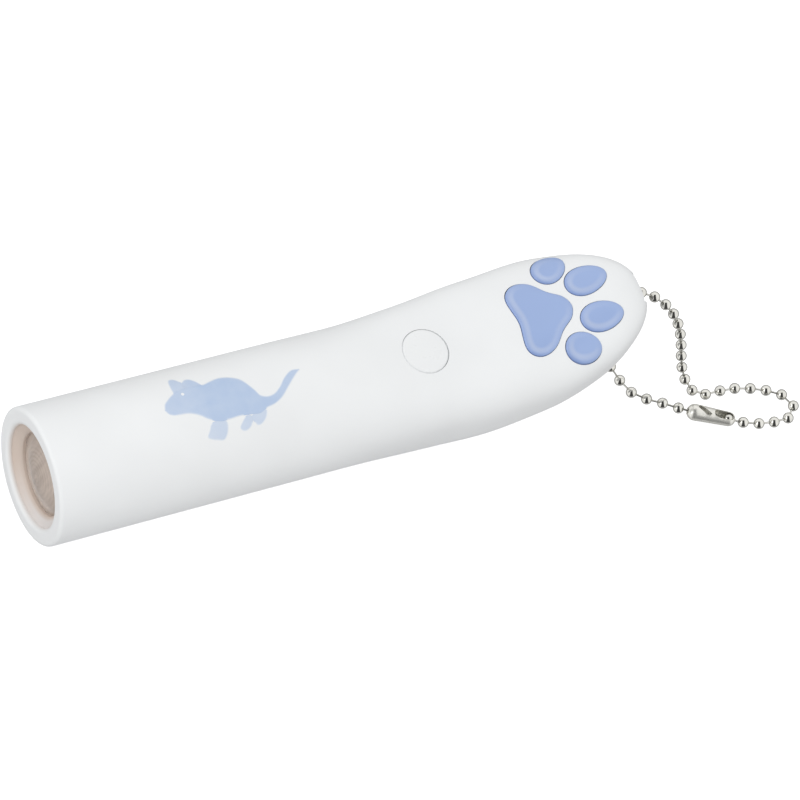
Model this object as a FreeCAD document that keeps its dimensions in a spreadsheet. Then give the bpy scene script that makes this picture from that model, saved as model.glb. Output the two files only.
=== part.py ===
import FreeCAD, Part
import math
import os
import Sketcher
from FreeCAD import Placement, Rotation, Vector

# Hand-held LED pointer for cats, in millimetres.
# The pieces are drawn with X from the front rim towards the tail and Z measured from the
# axis of the round front. Every finished piece is then moved so that X = 0 is the middle
# of the grip and Z = 0 is the surface on which its flat belly rests.
# An inset is a distance back from the tip of the tail, a lift a height above the belly and a
# step a distance along X from the piece in front.

SIZES = {
    # outer form of the grip: a round tube that widens, flattens and bends up at the tail
    "tail_length": 42.1,
    "tube_radius": 12.0,
    "tube_x": 48.0,
    "wall": 2.0,
    "belly_flat": 0.4,
    "waist_x": 60.0,
    "waist_half_width": 11.76,
    "waist_half_height": 11.1,
    "waist_lift": -0.1,
    "waist_power": 2.3,
    "button_half_width": 12.04,
    "button_half_height": 10.12,
    "button_lift": 0.55,
    "button_power": 2.9,
    "neck_inset": 29.5,
    "neck_half_width": 12.9,
    "neck_half_height": 8.97,
    "neck_lift": 2.17,
    "heel_inset": 19.9,
    "heel_half_width": 12.86,
    "heel_half_height": 8.1,
    "heel_lift": 5.03,
    "toe_inset": 11.5,
    "toe_half_width": 11.5,
    "toe_half_height": 7.55,
    "toe_lift": 7.45,
    "tip_half_width": 10.06,
    "tip_half_height": 8.25,
    "tip_lift": 10.68,
    "paw_power": 3.2,
    "nose_inset": 15.1,
    "nose_share": 0.985,
    "nose_width_power": 2.2,
    "nose_height_power": 2.65,
    "cavity_end_inset": 12.5,
    # parting face between the two shells
    "parting_lift": 7.0,
    "parting_knee_inset": 40.9,
    "parting_rise_angle": 17.7,
    "parting_gap": 0.05,
    # ring at the front and the optics behind it
    "bezel_depth": 2.0,
    "mouth_radius": 8.9,
    "bezel_round": 0.7,
    "mouth_round": 0.9,
    "slip": 0.1,
    "tube_step_x": 14.0,
    "barrel_radius": 6.8,
    "barrel_overhang": 0.6,
    "ring_x": 2.0,
    "ring_thickness": 0.5,
    "ring_hole_radius": 7.2,
    "lens_radius": 8.0,
    "lens_edge": 2.2,
    "lens_bulge": 1.5,
    "slide_x": 17.0,
    "slide_radius": 5.0,
    "slide_thickness": 0.3,
    "slide_window_radius": 4.3,
    "condenser_edge": 1.0,
    "condenser_bulge": 2.0,
    "holder_length": 6.7,
    "led_radius": 2.5,
    "led_flange_radius": 2.9,
    "led_length": 6.0,
    "lead_width": 0.5,
    "lead_spacing": 2.54,
    "lead_step": 4.6,
    # button and switch
    "button_radius": 4.1,
    "button_clearance": 0.12,
    "button_edge_drop": 0.12,
    "button_crown": 0.4,
    "button_step": 7.0,
    "button_flange_radius": 4.7,
    "button_flange_thickness": 0.6,
    "button_flange_drop": 2.57,
    "button_stem_radius": 1.6,
    "switch_side": 6.0,
    "switch_height": 3.5,
    "plunger_radius": 1.75,
    "plunger_reach": 0.7,
    "plunger_depth": 0.9,
    "plunger_well": 1.5,
    # circuit board
    "board_step": 2.0,
    "board_rear_inset": 29.0,
    "board_half_width": 6.6,
    "board_thickness": 1.0,
    "board_bottom": 2.0,
    "post_radius": 1.3,
    "post_y": 5.2,
    "front_post_step": 8.0,
    "front_stud_step": 1.4,
    "rear_post_inset": 33.0,
    "resistor_step": 17.0,
    "resistor_radius": 1.1,
    "resistor_length": 6.0,
    "resistor_span": 9.0,
    # cells and contacts
    "cell_radius": 5.8,
    "cell_length": 5.4,
    "cell_step": 1.9,
    "contact_thickness": 0.4,
    "contact_half_width": 4.0,
    "contact_tab_half_width": 1.5,
    "contact_lift": 2.6,
    "spring_radius": 3.0,
    "spring_wire_radius": 0.25,
    "spring_turns": 3.0,
    "spring_length": 3.9,
    "rail_width": 1.0,
    "rail_gap": 0.35,
    # battery cover
    "cover_front_lip": 1.5,
    "cover_rear_lip": 3.1,
    "cover_half_width": 7.4,
    "cover_corner": 2.0,
    "cover_thickness": 1.4,
    "cover_gap": 0.15,
    "well_front_margin": 1.0,
    "well_rear_margin": 1.3,
    "well_half_width": 6.0,
    "rib_height": 1.0,
    "rib_width": 0.8,
    "grip_groove_depth": 0.25,
    "grip_groove_spacing": 1.6,
    "cover_screw_step": 4.9,
    "cover_boss_radius": 2.5,
    "cover_boss_lift": 2.4,
    "shell_boss_radius": 3.4,
    "shell_boss_lift": 6.4,
    # screws
    "screw_radius": 1.0,
    "screw_clearance": 0.05,
    "head_radius": 1.75,
    "head_height": 1.2,
    "head_clearance": 0.15,
    "cover_screw_length": 4.4,
    "cover_head_lift": 1.4,
    "case_screw_length": 9.5,
    "case_boss_radius": 2.1,
    "front_screw_step": 5.9,
    "front_head_lift": 2.6,
    "rear_screw_inset": 21.5,
    "rear_head_seat": -2.0,
    "driver_slot_width": 0.5,
    "driver_slot_length": 2.2,
    "driver_slot_depth": 0.7,
    # pads set into the paw
    "pad_recess": 0.15,
    "pad_depth": 1.25,
    "socket_depth": 1.3,
    "pad_gap": 0.1,
    "main_pad_inset": 20.9,
    "main_pad_nose": 6.3,
    "main_pad_dent": 4.0,
    "main_pad_lobe_y": 7.0,
    "outer_toe_inset": 15.45,
    "outer_toe_y": 7.8,
    "outer_toe_length": 6.4,
    "outer_toe_width": 5.2,
    "outer_toe_angle": 25.0,
    "inner_toe_inset": 10.5,
    "inner_toe_y": 3.6,
    "inner_toe_length": 7.6,
    "inner_toe_width": 5.4,
    "inner_toe_angle": 4.0,
    "toe_taper": 0.12,
    # lanyard pin and its notch
    "pin_inset": 4.0,
    "pin_height": 10.2,
    "pin_radius": 1.2,
    "pin_near_y": 5.2,
    "pin_far_y": 6.4,
    "notch_reach": 4.2,
    "notch_roof": 4.8,
    "notch_half_width": 2.9,
    # ball chain
    "bead_radius": 1.0,
    "bead_wall": 0.2,
    "bead_pitch": 3.0,
    "bead_hole_radius": 0.26,
    "link_radius": 0.18,
    "link_knob_radius": 0.3,
    "clasp_wide_radius": 1.5,
    "clasp_narrow_radius": 1.3,
    "clasp_sheet": 0.18,
    "clasp_hole_radius": 0.65,
    "clasp_slot_step": 1.5,
    "clasp_slot_length": 2.6,
    "clasp_slot_width": 0.8,
    "clasp_slot_angle": 32.0,
    "clasp_window_length": 2.3,
    "clasp_window_width": 1.5,
}

# What is placed back from the tip of the tail and up from the belly
TAIL_PLACES = ("parting_knee", "rear_post", "neck", "board_rear", "rear_screw", "main_pad",
               "heel", "outer_toe", "nose", "cavity_end", "toe", "inner_toe", "pin")
BELLY_PLACES = ("parting", "contact", "cover_boss", "shell_boss", "cover_head")


def add_places(dims):
    """Adds the places that follow from the sizes, so that neighbours move together."""
    dims["holder_end_x"] = (dims["slide_x"] + dims["slide_thickness"] + dims["condenser_edge"]
                            + dims["condenser_bulge"] + dims["holder_length"])
    dims["barrel_end_x"] = dims["holder_end_x"] + dims["barrel_overhang"]
    dims["lead_x"] = dims["holder_end_x"] + dims["lead_step"]
    dims["board_front_x"] = dims["holder_end_x"] + dims["board_step"]
    for name in ("front_stud", "front_post", "resistor"):
        dims[name + "_x"] = dims["board_front_x"] + dims[name + "_step"]
    dims["cell_front_x"] = dims["lead_x"] + dims["cell_step"]
    dims["rear_contact_x"] = (dims["cell_front_x"] + 3 * dims["cell_length"]
                              + dims["spring_length"])
    dims["cell_drop"] = dims["tube_radius"] - dims["wall"] - dims["cell_radius"]
    dims["well_front_x"] = dims["cell_front_x"] - dims["well_front_margin"]
    dims["well_rear_x"] = dims["rear_contact_x"] + dims["well_rear_margin"]
    dims["cover_screw_x"] = dims["rear_contact_x"] + dims["cover_screw_step"]
    dims["cover_front_x"] = dims["well_front_x"] - dims["cover_front_lip"]
    dims["cover_rear_x"] = dims["cover_screw_x"] + dims["cover_rear_lip"]
    dims["front_screw_x"] = dims["cover_screw_x"] + dims["front_screw_step"]
    dims["button_x"] = dims["front_screw_x"] + dims["button_step"]
    dims["body_length"] = dims["button_x"] + dims["tail_length"]
    for name in TAIL_PLACES:
        dims[name + "_x"] = dims["body_length"] - dims[name + "_inset"]
    axis_height = dims["tube_radius"] - dims["belly_flat"]
    for name in BELLY_PLACES:
        dims[name + "_drop"] = axis_height - dims[name + "_lift"]
    dims["front_head_seat"] = dims["front_head_lift"] - axis_height


add_places(SIZES)

# Poles round each cross-section of the grip, the distance between its sections and the
# number of closer ones along its nose
SECTION_POINTS = 32
SECTION_SPACING = 3.0
NOSE_SECTIONS = 10
TOE_POINTS = 12

doc = FreeCAD.newDocument("led_pointer")
sheet = doc.addObject("Spreadsheet::Sheet", "dim")
for row, (alias, value) in enumerate(SIZES.items(), start=1):
    sheet.set("A%d" % row, alias)
    sheet.set("B%d" % row, str(value))
    sheet.setAlias("B%d" % row, alias)
doc.recompute()

nodes = []


def size(alias):
    """The number in the sheet under this name."""
    return float(sheet.get(alias))


def bind(item, formulas):
    for prop, formula in formulas.items():
        item.setExpression(prop, formula)


def place(item, x="0", y="0", z="0"):
    bind(item, {".Placement.Base.x": x, ".Placement.Base.y": y, ".Placement.Base.z": z})
    return item


def finish(item, label, x="0", y="0", z="0"):
    """Names a finished piece and moves it from the drawing frame to the resting frame."""
    item.Label = label
    place(item, x + " - dim.body_length / 2", y, z + " + dim.tube_radius - dim.belly_flat")
    nodes.append(item)
    return item


def box(name, low, span):
    block = doc.addObject("Part::Box", name)
    place(block, *low)
    bind(block, dict(zip(("Length", "Width", "Height"), span)))
    return block


def rod(name, radius, length, start, direction=Vector(0, 0, 1)):
    cylinder = doc.addObject("Part::Cylinder", name)
    cylinder.Placement = Placement(Vector(), Rotation(Vector(0, 0, 1), direction))
    place(cylinder, *start)
    bind(cylinder, {"Radius": radius, "Height": length})
    return cylinder


def dome(name, rim, bulge, start, direction=Vector(0, 0, 1)):
    """Cap of a sphere on a flat round face: its rim radius and how far it bulges."""
    radius = "((%s) ^ 2 + (%s) ^ 2) / (2 * (%s))" % (rim, bulge, bulge)
    offset = "(%s - (%s))" % (radius, bulge)
    sphere = doc.addObject("Part::Sphere", name)
    sphere.Placement = Placement(Vector(), Rotation(Vector(0, 0, 1), direction))
    base = [formula + " - %s * %r" % (offset, step) for formula, step in zip(start, direction)]
    place(sphere, *base)
    bind(sphere, {"Radius": radius, "Angle1": "asin(%s / (%s))" % (offset, radius)})
    return sphere


def fuse(name, *pieces):
    joined = doc.addObject("Part::MultiFuse", name)
    joined.Shapes = list(pieces)
    return joined


def common(name, first, second):
    shared = doc.addObject("Part::Common", name)
    shared.Base = first
    shared.Tool = second
    return shared


def cut(name, base, *tools):
    rest = doc.addObject("Part::Cut", name)
    rest.Base = base
    rest.Tool = tools[0] if len(tools) == 1 else fuse(name + "_tools", *tools)
    return rest


def group(name, pieces):
    compound = doc.addObject("Part::Compound", name)
    compound.Links = pieces
    return compound


def solid(name, shape):
    feature = doc.addObject("Part::Feature", name)
    feature.Shape = shape
    return feature


# Sketches whose every corner is tied to the sheet


def new_sketch(body, name, role):
    sketch = body.newObject("Sketcher::SketchObject", name)
    plane = [part for part in body.Origin.OriginFeatures if part.Role == role][0]
    sketch.AttachmentSupport = [(plane, "")]
    sketch.MapMode = "FlatFace"
    return sketch


def pin_point(sketch, geometry, vertex, across, up):
    """Ties one point of the sketch to its two coordinates."""
    for kind, formula, axis in (("DistanceX", across, -2), ("DistanceY", up, -1)):
        if formula == "0":
            sketch.addConstraint(Sketcher.Constraint("PointOnObject", geometry, vertex, axis))
        else:
            rule = Sketcher.Constraint(kind, -1, 1, geometry, vertex, 1.0)
            index = sketch.addConstraint(rule)
            sketch.setExpression("Constraints[%d]" % index, formula)


def add_outline(sketch, corners):
    """Closed outline of straight sides; each corner is a pair of formulas."""
    first = sketch.GeometryCount
    total = len(corners)
    spots = [Vector(math.cos(k * math.tau / total) + 2, math.sin(k * math.tau / total) + 2, 0)
             for k in range(total)]
    for k in range(total):
        sketch.addGeometry(Part.LineSegment(spots[k], spots[(k + 1) % total]), False)
    for k in range(total):
        follower = first + (k + 1) % total
        sketch.addConstraint(Sketcher.Constraint("Coincident", first + k, 2, follower, 1))
    for k, (across, up) in enumerate(corners):
        pin_point(sketch, first + k, 1, across, up)


def add_circle(sketch, across, up, radius):
    index = sketch.addGeometry(Part.Circle(Vector(1, 1, 0), Vector(0, 0, 1), 1), False)
    rule = sketch.addConstraint(Sketcher.Constraint("Radius", index, 1.0))
    sketch.setExpression("Constraints[%d]" % rule, radius)
    pin_point(sketch, index, 3, across, up)


def turned(name, corners, axis="H_Axis"):
    """Body of revolution from an outline in the XZ plane, about X (H_Axis) or Z (V_Axis)."""
    body = doc.addObject("PartDesign::Body", name)
    profile = new_sketch(body, name + "_profile", "XZ_Plane")
    add_outline(profile, corners)
    turn = body.newObject("PartDesign::Revolution", name + "_turn")
    turn.Profile = profile
    turn.ReferenceAxis = (profile, [axis])
    turn.Angle = 360
    profile.Visibility = False
    return body


def plate(name, role, corners, thickness):
    """Flat plate whose outline lies in one origin plane, centred on that plane's middle."""
    body = doc.addObject("PartDesign::Body", name)
    outline = new_sketch(body, name + "_outline", role)
    add_outline(outline, corners)
    pad = body.newObject("PartDesign::Pad", name + "_pad")
    pad.Profile = outline
    bind(pad, {"Length": thickness})
    return body


def rounded_edges(body, name, radius, wanted):
    """Rounds the circular edges whose centre and radius satisfy the test."""
    doc.recompute()
    base = body.Tip
    picked = []
    for number, edge in enumerate(base.Shape.Edges, start=1):
        if isinstance(edge.Curve, Part.Circle) and wanted(edge.Curve):
            picked.append("Edge%d" % number)
    blend = body.newObject("PartDesign::Fillet", name)
    blend.Base = (base, picked)
    bind(blend, {"Radius": radius})
    return blend


# Outer form of the grip


def stations():
    """Rows of the outer form: x, half width, half height, middle height, corner power."""
    rows = [(x, size("tube_radius"), size("tube_radius"), 0.0, 2.0)
            for x in (-2 * size("tube_radius"), size("tube_x"))]
    columns = ("x", "half_width", "half_height", "lift")
    for name in ("waist", "button"):
        rows.append(tuple(size(name + "_" + word) for word in columns + ("power",)))
    for name in ("neck", "heel", "toe"):
        rows.append(tuple(size(name + "_" + word) for word in columns) + (size("paw_power"),))
    rows.append((size("body_length"), size("tip_half_width"), size("tip_half_height"),
                 size("tip_lift"), size("paw_power")))
    return rows


def between(x, column):
    """One column of the outer form at x, by a smooth curve that never overshoots a row."""
    rows = stations()
    rises = [(far[column] - near[column]) / (far[0] - near[0])
             for near, far in zip(rows, rows[1:])]
    slopes = [rises[0]]
    for before, after in zip(rises, rises[1:]):
        same_way = before * after > 0
        slopes.append(2 * before * after / (before + after) if same_way else 0.0)
    slopes.append(rises[-1])
    index = max(k for k in range(len(rises)) if k == 0 or rows[k][0] <= x)
    near, far = rows[index], rows[index + 1]
    width = far[0] - near[0]
    t = (x - near[0]) / width
    rest = 1 - t
    return (near[column] * rest * rest * (1 + 2 * t) + far[column] * t * t * (3 - 2 * t)
            + width * t * rest * (slopes[index] * rest - slopes[index + 1] * t))


def smooth_poles(points):
    """Poles of an even cubic curve that follows a closed row of points."""
    poles = []
    for step, point in enumerate(points):
        following = points[(step + 1) % len(points)]
        poles.append(point + (point * 2 - points[step - 1] - following) / 6)
    return poles


def section(x, inset):
    """Poles of a smooth curve round the superellipse |y / a|^p + |z / b|^p = 1."""
    half_width = between(x, 1) - inset
    half_height = between(x, 2) - inset
    lift = between(x, 3)
    power = between(x, 4)
    along = (x - size("nose_x")) / (size("body_length") - inset - size("nose_x"))
    if along > 0:
        along *= size("nose_share")
        half_width *= (1 - along ** size("nose_width_power")) ** (1 / size("nose_width_power"))
        half_height *= (1 - along ** size("nose_height_power")) ** (1 / size("nose_height_power"))
    points = []
    for step in range(SECTION_POINTS):
        angle = step * math.tau / SECTION_POINTS
        reach = (abs(math.cos(angle) / half_width) ** power
                 + abs(math.sin(angle) / half_height) ** power) ** (-1 / power)
        points.append(Vector(x, reach * math.cos(angle), lift + reach * math.sin(angle)))
    return smooth_poles(points)


def grip_solid(inset, start, stop=None):
    """Solid inside one smooth surface whose poles are the sections from start to stop."""
    nose_length = size("body_length") - inset - size("nose_x")
    count = round((size("nose_x") - start) / SECTION_SPACING)
    places = [start + (size("nose_x") - start) * k / count for k in range(count)]
    places += [size("nose_x") + nose_length * math.sin(k * math.pi / (2 * NOSE_SECTIONS))
               for k in range(NOSE_SECTIONS + 1)]
    if stop is not None:
        places = [x for x in places if x < stop - 1] + [stop]
    rows = [section(x, inset) for x in places]
    spans = len(places) - 3
    surface = Part.BSplineSurface()
    surface.buildFromPolesMultsKnots(
        poles=[[row[step] for row in rows] for step in range(SECTION_POINTS)],
        umults=[1] * (SECTION_POINTS + 1), vmults=[4] + [1] * (spans - 1) + [4],
        uknots=list(range(SECTION_POINTS + 1)), vknots=list(range(spans + 1)),
        uperiodic=True, vperiodic=False, udegree=3, vdegree=3)
    side = surface.toShape()
    rims = [edge for edge in side.Edges if edge.BoundBox.XLength < size("pad_recess")]
    ends = [Part.Face(Part.Wire([rim])) for rim in rims]
    skin = Part.Shell([side] + ends)
    skin.sewShape()
    return Part.Solid(skin)


front = size("bezel_depth")
paw_start = size("neck_x")
belly = "-(dim.tube_radius - dim.belly_flat)"

grip_outer = solid("grip_outer", grip_solid(0, front))
grip_cavity = solid("grip_cavity", grip_solid(size("wall"), front - 1, size("cavity_end_x")))
cover_inside = solid("cover_inside", grip_solid(size("cover_thickness"), front - 1,
                                                size("cavity_end_x")))
ledge_inside = solid("ledge_inside", grip_solid(size("cover_thickness") + size("slip"),
                                                front - 1, size("cavity_end_x")))
pad_top = solid("pad_top", grip_solid(size("pad_recess"), paw_start))
pad_floor = solid("pad_floor", grip_solid(size("pad_depth"), paw_start))
socket_floor = solid("socket_floor", grip_solid(size("socket_depth"), paw_start))

under_belly = box(
    "under_belly",
    ("-1", "-dim.tube_radius", "-2 * dim.tube_radius"),
    ("dim.body_length + 2", "2 * dim.tube_radius", "dim.tube_radius + dim.belly_flat"))
grip_form = cut("grip_form", grip_outer, under_belly)
boss_form = solid("boss_form", grip_solid(size("wall") / 2, front, size("cavity_end_x")))


# Notch in the tip and the hole for the lanyard pin

pin_axis = ("dim.pin_x", "dim.pin_height")
notch_low = box(
    "notch_low",
    ("dim.pin_x - dim.notch_reach", "-dim.notch_half_width", "-dim.tube_radius"),
    ("dim.body_length", "2 * dim.notch_half_width", "dim.tube_radius + dim.pin_height"))
notch_rear = box(
    "notch_rear",
    ("dim.pin_x", "-dim.notch_half_width", "0"),
    ("dim.body_length", "2 * dim.notch_half_width", "dim.pin_height + dim.notch_roof"))
notch_round = rod(
    "notch_round", "dim.notch_reach", "2 * dim.notch_half_width",
    ("dim.pin_x", "dim.notch_half_width", "dim.pin_height"), Vector(0, -1, 0))
pin_hole = rod(
    "pin_hole", "dim.pin_radius", "dim.pin_near_y + dim.tube_radius",
    ("dim.pin_x", "-dim.pin_near_y", "dim.pin_height"), Vector(0, 1, 0))
lanyard_pin = finish(
    rod("lanyard_pin", "dim.pin_radius", "dim.pin_near_y + dim.pin_far_y", ("0", "0", "0"),
        Vector(0, 1, 0)),
    "lanyard_pin", "dim.pin_x", "-dim.pin_near_y", "dim.pin_height")


# Bosses and posts inside the shells


def boss(name, x, radius, low, high, y="0"):
    return rod(name, radius, "(%s) - (%s)" % (high, low), (x, y, low))


roof = "dim.tube_radius + dim.toe_half_height"
depth = "-2 * dim.tube_radius"
bosses = [
    boss("front_boss", "dim.front_screw_x", "dim.case_boss_radius", depth, roof),
    boss("rear_boss", "dim.rear_screw_x", "dim.case_boss_radius", depth, roof),
]
board_top = "dim.board_bottom + dim.board_thickness"
for tag, x in (("front", "dim.front_post_x"), ("rear", "dim.rear_post_x")):
    for side, y in (("near", "-dim.post_y"), ("far", "dim.post_y")):
        bosses.append(boss(tag + "_post_" + side, x, "dim.post_radius", board_top, roof, y))
inner_bosses = common("inner_bosses", fuse("all_bosses", *bosses), boss_form)
whole_shell = cut(
    "whole_shell",
    fuse("shell_and_bosses", cut("hollow_grip", grip_form, grip_cavity), inner_bosses),
    notch_low, notch_rear, notch_round, pin_hole)


# Parting face: level below the tube, then rising under the tail

parting_tan = "tan(dim.parting_rise_angle)"
rise_length = "(dim.body_length + 2 - dim.parting_knee_x)"


def parting_block(name, gap):
    level = "dim.tube_radius * 2 - dim.parting_drop - " + gap
    top = level + " + %s * %s" % (rise_length, parting_tan)
    body = plate(name, "XZ_Plane", [
        ("dim.body_length + 3", "0.001"),
        ("dim.body_length + 3", top),
        ("dim.body_length + 3 - 1", top),
        ("dim.parting_knee_x + 1", level),
        ("0.001", level),
        ("0.001", "0.001"),
    ], "4 * dim.tube_radius")
    body.Tip.Midplane = True
    place(body, "-1", "0", "-2 * dim.tube_radius")
    return body


lower_block = parting_block("lower_block", "dim.parting_gap")
upper_limit = parting_block("upper_limit", "0")


# Lower shell


def rounded_block(name, grow, low, high):
    block = box(
        name + "_box",
        ("dim.cover_front_x - " + grow, "-dim.cover_half_width - " + grow, low),
        ("dim.cover_rear_x - dim.cover_front_x + 2 * " + grow,
         "2 * dim.cover_half_width + 2 * " + grow, "(%s) - (%s)" % (high, low)))
    doc.recompute()
    corners = []
    for number, edge in enumerate(block.Shape.Edges, start=1):
        if abs(edge.tangentAt(edge.FirstParameter).z) > 0.9:
            corners.append((number, size("cover_corner"), size("cover_corner")))
    soft = doc.addObject("Part::Fillet", name)
    soft.Base = block
    soft.Edges = corners
    return soft


cover_room = cut("cover_room", rounded_block("cover_room_block", "dim.cover_gap", depth,
                                             "-dim.parting_drop"), ledge_inside)
cell_well = box(
    "cell_well",
    ("dim.well_front_x", "-dim.well_half_width", depth),
    ("dim.well_rear_x - dim.well_front_x", "2 * dim.well_half_width",
     "2 * dim.tube_radius - dim.parting_drop"))


def head_pocket(name, x, seat):
    return fuse(
        name,
        boss(name + "_bore", x, "dim.head_radius + dim.head_clearance", depth, seat),
        boss(name + "_hole", x, "dim.screw_radius + dim.head_clearance", depth,
             "%s + dim.case_screw_length" % seat))


lower_studs = []
for tag, x in (("front", "dim.front_stud_x"), ("rear", "dim.rear_post_x")):
    for side, y in (("near", "-dim.post_y"), ("far", "dim.post_y")):
        lower_studs.append(boss(tag + "_stud_" + side, x, "dim.post_radius", depth,
                                "dim.board_bottom", y))
rails = []
for side, start in (("near", "-dim.cell_radius - dim.rail_gap - dim.rail_width"),
                    ("far", "dim.cell_radius + dim.rail_gap")):
    rails.append(box(
        "rail_" + side,
        ("dim.cell_front_x", start, depth),
        ("3 * dim.cell_length", "dim.rail_width",
         "2 * dim.tube_radius - dim.parting_drop - dim.parting_gap")))
cover_screw_boss = boss("cover_screw_boss", "dim.cover_screw_x", "dim.shell_boss_radius", depth,
                        "-dim.shell_boss_drop")
lower_inside = common("lower_inside", fuse("lower_ribs", *lower_studs, *rails, cover_screw_boss),
                      boss_form)
lower_half = common("lower_half", whole_shell, lower_block)
lower_shell = cut(
    "lower_shell_cut",
    fuse("lower_with_ribs", lower_half, lower_inside),
    cover_room,
    cell_well,
    boss("cover_boss_room", "dim.cover_screw_x", "dim.cover_boss_radius + dim.cover_gap", depth,
         "-dim.cover_boss_drop + dim.slip"),
    boss("cover_thread", "dim.cover_screw_x", "dim.screw_radius + dim.screw_clearance", depth,
         "-dim.shell_boss_drop + 1"),
    head_pocket("front_head_pocket", "dim.front_screw_x", "dim.front_head_seat"),
    head_pocket("rear_head_pocket", "dim.rear_screw_x", "dim.rear_head_seat"))
finish(lower_shell, "lower_shell")


# Pads: prisms on the paw, cut to follow its surface


def outline_face(points):
    curve = Part.BSplineCurve()
    curve.buildFromPolesMultsKnots(
        poles=smooth_poles(points), mults=[1] * (len(points) + 1),
        knots=list(range(len(points) + 1)), periodic=True, degree=3)
    return Part.Face(Part.Wire([curve.toShape()]))


def main_pad_points(grow):
    """Heart-like pad: a nose towards the toes, two lobes at the back and a dent between."""
    nose = size("main_pad_nose") + grow
    lobe = size("main_pad_lobe_y") + grow
    dent = -size("main_pad_dent") - grow
    half = [
        (0.89 * nose, 0.25 * lobe),
        (0.75 * nose, 0.38 * lobe),
        (0.45 * nose, 0.57 * lobe),
        (0.18 * nose, 0.87 * lobe),
        (0.43 * dent, lobe),
        (0.99 * dent, 0.72 * lobe),
        (0.85 * dent, 0.18 * lobe),
    ]
    middle = size("main_pad_x")
    far = [Vector(middle + x, y, 0) for x, y in half]
    near = [Vector(middle + x, -y, 0) for x, y in reversed(half)]
    return [Vector(middle + nose, 0, 0)] + far + near


def toe_points(kind, side, grow):
    """Egg: y = b sin(a) (1 - k cos(a)), narrower towards the claw end, turned outwards."""
    half_length = size(kind + "_toe_length") / 2 + grow
    half_width = size(kind + "_toe_width") / 2 + grow
    turn = math.radians(size(kind + "_toe_angle"))
    points = []
    for step in range(TOE_POINTS):
        angle = step * math.tau / TOE_POINTS
        along = half_length * math.cos(angle)
        across = half_width * math.sin(angle) * (1 - size("toe_taper") * math.cos(angle))
        x = along * math.cos(turn) - across * math.sin(turn)
        y = along * math.sin(turn) + across * math.cos(turn)
        points.append(Vector(size(kind + "_toe_x") + x, side * (size(kind + "_toe_y") + y), 0))
    return points


def prism(points):
    """Upright prism over an outline, from the middle of the paw up past its top."""
    face = outline_face(points)
    face.translate(Vector(0, 0, size("toe_lift")))
    return face.extrude(Vector(0, 0, size("tube_radius")))


pad_outlines = {"main_pad": main_pad_points}
for kind in ("outer", "inner"):
    for word, side in (("near", -1), ("far", 1)):
        pad_outlines["toe_pad_%s_%s" % (kind, word)] = (
            lambda grow, kind=kind, side=side: toe_points(kind, side, grow))

sockets = []
for label, outline in pad_outlines.items():
    socket = solid(label + "_socket_prism", prism(outline(size("pad_gap"))))
    sockets.append(cut(label + "_socket", socket, socket_floor))
    blank = common(label + "_blank", solid(label + "_prism", prism(outline(0))), pad_top)
    finish(cut(label + "_cut", blank, pad_floor), label)


# Upper shell

button_top = "dim.button_lift + dim.button_half_height"
thread = "dim.screw_radius + dim.screw_clearance"
upper_shell = cut(
    "upper_shell_cut",
    whole_shell,
    upper_limit,
    rod("button_hole", "dim.button_radius + dim.button_clearance", "2 * dim.wall",
        ("dim.button_x", "0", button_top + " - 1.5 * dim.wall")),
    boss("front_thread", "dim.front_screw_x", thread, depth,
         "dim.front_head_seat + dim.case_screw_length + 0.5"),
    boss("rear_thread", "dim.rear_screw_x", thread, depth,
         "dim.rear_head_seat + dim.case_screw_length + 0.5"),
    *sockets)
finish(upper_shell, "upper_shell")


# Battery cover with its inner rib, screw boss and finger grooves

cover_plate = common("cover_plate", rounded_block("cover_block", "0", depth,
                                                  "-dim.parting_drop"), grip_form)
rib_outer = box(
    "rib_outer",
    ("dim.well_front_x + dim.cover_gap", "-dim.well_half_width + dim.cover_gap", depth),
    ("dim.well_rear_x - dim.well_front_x - 2 * dim.cover_gap",
     "2 * dim.well_half_width - 2 * dim.cover_gap",
     "dim.tube_radius + dim.cover_thickness + dim.rib_height"))
rib_inner = box(
    "rib_inner",
    ("dim.well_front_x + dim.cover_gap + dim.rib_width",
     "-dim.well_half_width + dim.cover_gap + dim.rib_width", depth),
    ("dim.well_rear_x - dim.well_front_x - 2 * dim.cover_gap - 2 * dim.rib_width",
     "2 * dim.well_half_width - 2 * dim.cover_gap - 2 * dim.rib_width", "2 * dim.tube_radius"))
cover_rib = common("cover_rib", cut("rib_frame", rib_outer, rib_inner), grip_form)
cover_boss = common(
    "cover_boss",
    boss("cover_boss_rod", "dim.cover_screw_x", "dim.cover_boss_radius", depth,
         "-dim.cover_boss_drop"),
    grip_form)
grooves = []
for count in range(4):
    grooves.append(box(
        "grip_groove_%d" % count,
        ("dim.cover_front_x + (%d + 1.5) * dim.grip_groove_spacing" % count,
         "-dim.cover_half_width / 2", depth),
        ("dim.grip_groove_spacing / 2", "dim.cover_half_width",
         "dim.tube_radius + dim.belly_flat + dim.grip_groove_depth")))
battery_cover = cut(
    "battery_cover_cut",
    fuse("cover_solid", cut("cover_shell", cover_plate, cover_inside), cover_rib, cover_boss),
    boss("cover_head_bore", "dim.cover_screw_x", "dim.head_radius + dim.head_clearance", depth,
         "-dim.cover_head_drop"),
    boss("cover_hole", "dim.cover_screw_x", "dim.screw_radius + dim.screw_clearance", depth, "0"),
    *grooves)
finish(battery_cover, "battery_cover")


# Screws: a flat head, a shank and a crossed driver recess


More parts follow.
